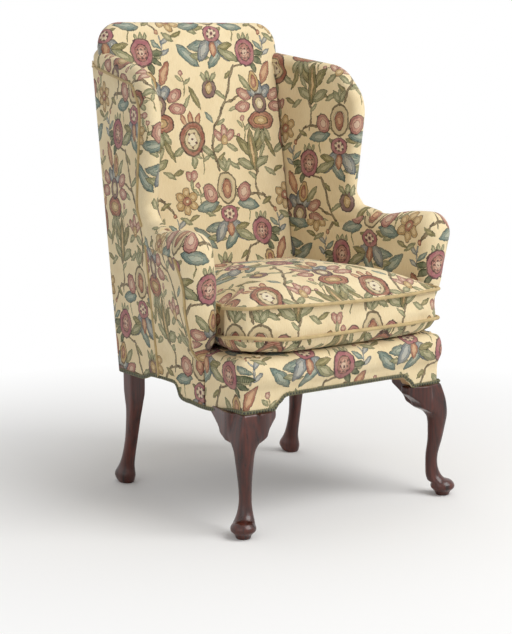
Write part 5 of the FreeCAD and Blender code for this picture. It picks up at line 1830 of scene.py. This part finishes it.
@dataclass(frozen=True)
class Wood:
    """A wood with grain along the piece, polished or bare."""

    name: str
    dark: str
    light: str
    roughness: float
    coat: float
    stretch: Spot = (1.0, 1.0, 0.09)

    def make(self) -> bpy.types.Material:
        """The material on object coordinates.

        Returns:
            The material.
        """
        g = Graph(self.name)
        at = g.add("ShaderNodeTexCoord").outputs["Object"]
        grain_at = g.vector("MULTIPLY", at, self.stretch).outputs[0]
        grain = g.noise(grain_at, 130.0, 5.0)
        broad = g.noise(grain_at, 22.0, 2.0)
        both = g.math("ADD", g.math("MULTIPLY", grain, 0.6), g.math("MULTIPLY", broad, 0.4))
        colour = g.ramp(both, ((0.34, self.dark, 1.0), (0.66, self.light, 1.0))).outputs[0]
        rubbed = g.noise(at, 9.0, 3.0)
        worn = g.ramp(rubbed, ((0.45, "FFFFFF", 1.0), (0.8, "C9B8A8", 1.0))).outputs[0]
        colour = g.blend(0.6, colour, worn, "MULTIPLY")
        g.join(colour, g.shader.inputs["Base Color"])
        rough = g.math("MULTIPLY_ADD", grain, 0.16, self.roughness - 0.06)
        g.join(rough, g.shader.inputs["Roughness"])
        g.shader.inputs["Coat Weight"].default_value = self.coat
        g.shader.inputs["Coat Roughness"].default_value = 0.12
        g.bump(grain, 0.12, 0.0006)
        return g.material


@dataclass(frozen=True)
class PlainCloth:
    """A plain woven or braided cloth."""

    name: str
    dark: str
    light: str
    pitch: float
    roughness: float = 0.9

    def make(self) -> bpy.types.Material:
        """The material on object coordinates.

        Returns:
            The material.
        """
        g = Graph(self.name)
        at = g.add("ShaderNodeTexCoord").outputs["Object"]
        parts = g.add("ShaderNodeSeparateXYZ")
        g.join(at, parts.inputs[0])
        turn = 2.0 * math.pi / self.pitch
        slant = g.math("ADD", parts.outputs[0], parts.outputs[2])
        warp = g.math("SINE", g.math("MULTIPLY", slant, turn))
        weft = g.math("SINE", g.math("MULTIPLY", parts.outputs[1], turn))
        weave = g.math("MULTIPLY_ADD", g.math("MULTIPLY", warp, weft), 0.5, 0.5)
        uneven = g.noise(at, 60.0, 3.0)
        value = g.math("ADD", g.math("MULTIPLY", weave, 0.45), g.math("MULTIPLY", uneven, 0.55))
        colour = g.ramp(value, ((0.25, self.dark, 1.0), (0.75, self.light, 1.0))).outputs[0]
        g.join(colour, g.shader.inputs["Base Color"])
        g.shader.inputs["Roughness"].default_value = self.roughness
        g.shader.inputs["Sheen Weight"].default_value = 0.1
        g.bump(weave, 0.4, 0.0006)
        return g.material


@dataclass
class Studio:
    """Pale floor, white surround, soft lamps and the camera."""

    camera_at: Spot = (-2.435, -3.2717, 1.139)
    heading: float = -36.40
    dip: float = 9.72
    lens: float = 92.2
    key: float = 118.0
    fill: float = 11.0
    air: float = 0.5

    def floor(self) -> None:
        """Floor that turns into the white surround away from the chair."""
        deselect()
        bpy.ops.mesh.primitive_circle_add(vertices=96, radius=14.0, fill_type="NGON")
        obj = bpy.context.object
        obj.name = "studio_floor"
        g = Graph("studio_floor")
        at = g.add("ShaderNodeTexCoord").outputs["Object"]
        away = g.vector("LENGTH", at).outputs["Value"]
        g.shader.inputs["Base Color"].default_value = tone("F3F2F0")
        g.shader.inputs["Roughness"].default_value = 0.9
        g.shader.inputs["Specular IOR Level"].default_value = 0.1
        glow = g.add("ShaderNodeEmission")
        glow.inputs["Color"].default_value = (1.0, 1.0, 1.0, 1.0)
        path = g.add("ShaderNodeLightPath")
        seen = g.math("MAXIMUM", path.outputs["Is Camera Ray"],
                      g.math("MAXIMUM", path.outputs["Is Glossy Ray"], path.outputs["Is Transmission Ray"]))
        share = g.math("MULTIPLY", g.ramp(g.math("MULTIPLY", away, 0.25),
                                          ((0.11, "000000", 1.0), (0.42, "FFFFFF", 1.0))).outputs[0], seen)
        both = g.add("ShaderNodeMixShader")
        g.join(share, both.inputs[0])
        g.join(g.shader.outputs[0], both.inputs[1])
        g.join(glow.outputs[0], both.inputs[2])
        g.join(both.outputs[0], g.output.inputs["Surface"])
        obj.data.materials.append(g.material)

    def surround(self) -> None:
        """World that lights softly and is seen as white."""
        world = bpy.data.worlds.new("studio")
        bpy.context.scene.world = world
        world.use_nodes = True
        tree = world.node_tree
        tree.nodes.clear()
        out = tree.nodes.new("ShaderNodeOutputWorld")
        back = tree.nodes.new("ShaderNodeBackground")
        soft = tree.nodes.new("ShaderNodeBackground")
        soft.inputs["Strength"].default_value = self.air
        path = tree.nodes.new("ShaderNodeLightPath")
        first = tree.nodes.new("ShaderNodeMath")
        first.operation = "MAXIMUM"
        second = tree.nodes.new("ShaderNodeMath")
        second.operation = "MAXIMUM"
        tree.links.new(path.outputs["Is Glossy Ray"], first.inputs[0])
        tree.links.new(path.outputs["Is Transmission Ray"], first.inputs[1])
        tree.links.new(path.outputs["Is Camera Ray"], second.inputs[0])
        tree.links.new(first.outputs[0], second.inputs[1])
        both = tree.nodes.new("ShaderNodeMixShader")
        tree.links.new(second.outputs[0], both.inputs[0])
        tree.links.new(soft.outputs[0], both.inputs[1])
        back.inputs["Strength"].default_value = 1.0
        back.inputs["Color"].default_value = (1.0, 1.0, 1.0, 1.0)
        soft.inputs["Color"].default_value = (1.0, 1.0, 1.0, 1.0)
        tree.links.new(back.outputs[0], both.inputs[2])
        tree.links.new(both.outputs[0], out.inputs["Surface"])

    def lamp(self, name: str, spot: Spot, power: float, size: float) -> None:
        """An area lamp turned towards the chair.

        Args:
            name: Name of the piece.
            spot: Where it hangs.
            power: Its power.
            size: Its side, in metres.
        """
        data = bpy.data.lights.new(name, "AREA")
        data.energy = power
        data.size = size
        lamp = bpy.data.objects.new(name, data)
        lamp.location = spot
        lamp.rotation_euler = (Vector((0.0, 0.0, 0.55)) - Vector(spot)).to_track_quat("-Z", "Y").to_euler()
        bpy.context.scene.collection.objects.link(lamp)

    def build(self) -> None:
        """Everything round the chair."""
        self.floor()
        self.surround()
        self.lamp("key", (1.2, -2.6, 3.4), self.key, 2.8)
        self.lamp("fill", (-3.0, -1.4, 1.8), self.fill, 2.6)
        self.lamp("rear", (0.6, 2.8, 2.6), self.fill, 2.4)
        data = bpy.data.cameras.new("camera")
        data.lens = self.lens
        data.sensor_width = 36.0
        data.sensor_fit = "AUTO"
        data.clip_end = 60.0
        camera = bpy.data.objects.new("camera", data)
        a, e = math.radians(self.heading), math.radians(self.dip)
        ahead = Vector((-math.sin(a) * math.cos(e), math.cos(a) * math.cos(e), -math.sin(e)))
        camera.location = self.camera_at
        camera.rotation_euler = ahead.to_track_quat("-Z", "Y").to_euler()
        bpy.context.scene.collection.objects.link(camera)
        scene = bpy.context.scene
        scene.camera = camera
        scene.view_settings.view_transform = "Standard"


FRAME_SLOTS = {
    "beech": ("rail", "post", "block"),
    "jute_webbing": ("webbing",),
    "hessian": ("base_cloth",),
    "dust_cloth": ("dust_cover",),
}


def dress(pieces: Sequence[bpy.types.Object], finishes: dict[str, bpy.types.Material]) -> None:
    """Gives every piece and every carried-over solid its finish.

    Args:
        pieces: The new pieces.
        finishes: Finishes by name.
    """
    for obj in pieces:
        obj.data.materials.clear()
        if "welt" in obj.name or "seam" in obj.name:
            obj.data.materials.append(finishes["welt"])
        elif "nails" in obj.name:
            obj.data.materials.append(finishes["nail"])
        elif "gimp" in obj.name:
            obj.data.materials.append(finishes["green_gimp"])
        elif "carved" in obj.name:
            obj.data.materials.append(finishes["walnut"])
        else:
            obj.data.materials.append(finishes["crewel_fabric"])
    for name in frame["nodes"]:
        for slot, words in FRAME_SLOTS.items():
            if any(word in name for word in words) and name in bpy.data.objects:
                solid = bpy.data.objects[name]
                if not solid.material_slots:
                    solid.data.materials.append(finishes[slot])
                for place in solid.material_slots:
                    place.material = finishes[slot]


def main() -> None:
    """Builds the chair's looks piece by piece."""
    logging.basicConfig(level=logging.INFO)
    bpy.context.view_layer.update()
    Studio().build()
    makers = [BackCloths(cloth_at=(-0.154, -0.805)),
              WingCloths(cloth_at=(-0.50, -0.81), outer_at=(0.12, 0.05)),
              ArmCloths(cloth_at=(0.06, -0.20), outer_at=(0.03, 0.22)), FrontCloth(), SeatDeck(),
              LooseCushion(), NailedTrim(), CarvedWood(), Seams()]
    pieces: list[bpy.types.Object] = []
    for maker in makers:
        maker.build()
        for obj in maker.pieces:
            log.info("%s: %s, %d faces", type(maker).__name__, obj.name, len(obj.data.polygons))
        pieces.extend(maker.pieces)
    finishes = {
        "crewel_fabric": Crewelwork().make(),
        "welt": PlainCloth("crewel_welt", "A48C62", "D2BA86", 0.0016).make(),
        "walnut": Wood("walnut", "1E0904", "5C2210", 0.28, 0.15).make(),
        "beech": Wood("beech", "A9835A", "CFAE80", 0.6, 0.0).make(),
        "green_gimp": PlainCloth("green_gimp", "4A4D36", "86805C", 0.0022).make(),
        "nail": Wood("nail", "14180F", "34362A", 0.4, 0.1).make(),
        "jute_webbing": PlainCloth("jute_webbing", "7F6A48", "B59B70", 0.004).make(),
        "hessian": PlainCloth("hessian", "9C8560", "C8B086", 0.0026).make(),
        "dust_cloth": PlainCloth("dust_cloth", "191918", "2B2A28", 0.0018).make(),
    }
    dress(pieces, finishes)


if __name__ == "__main__":
    main()
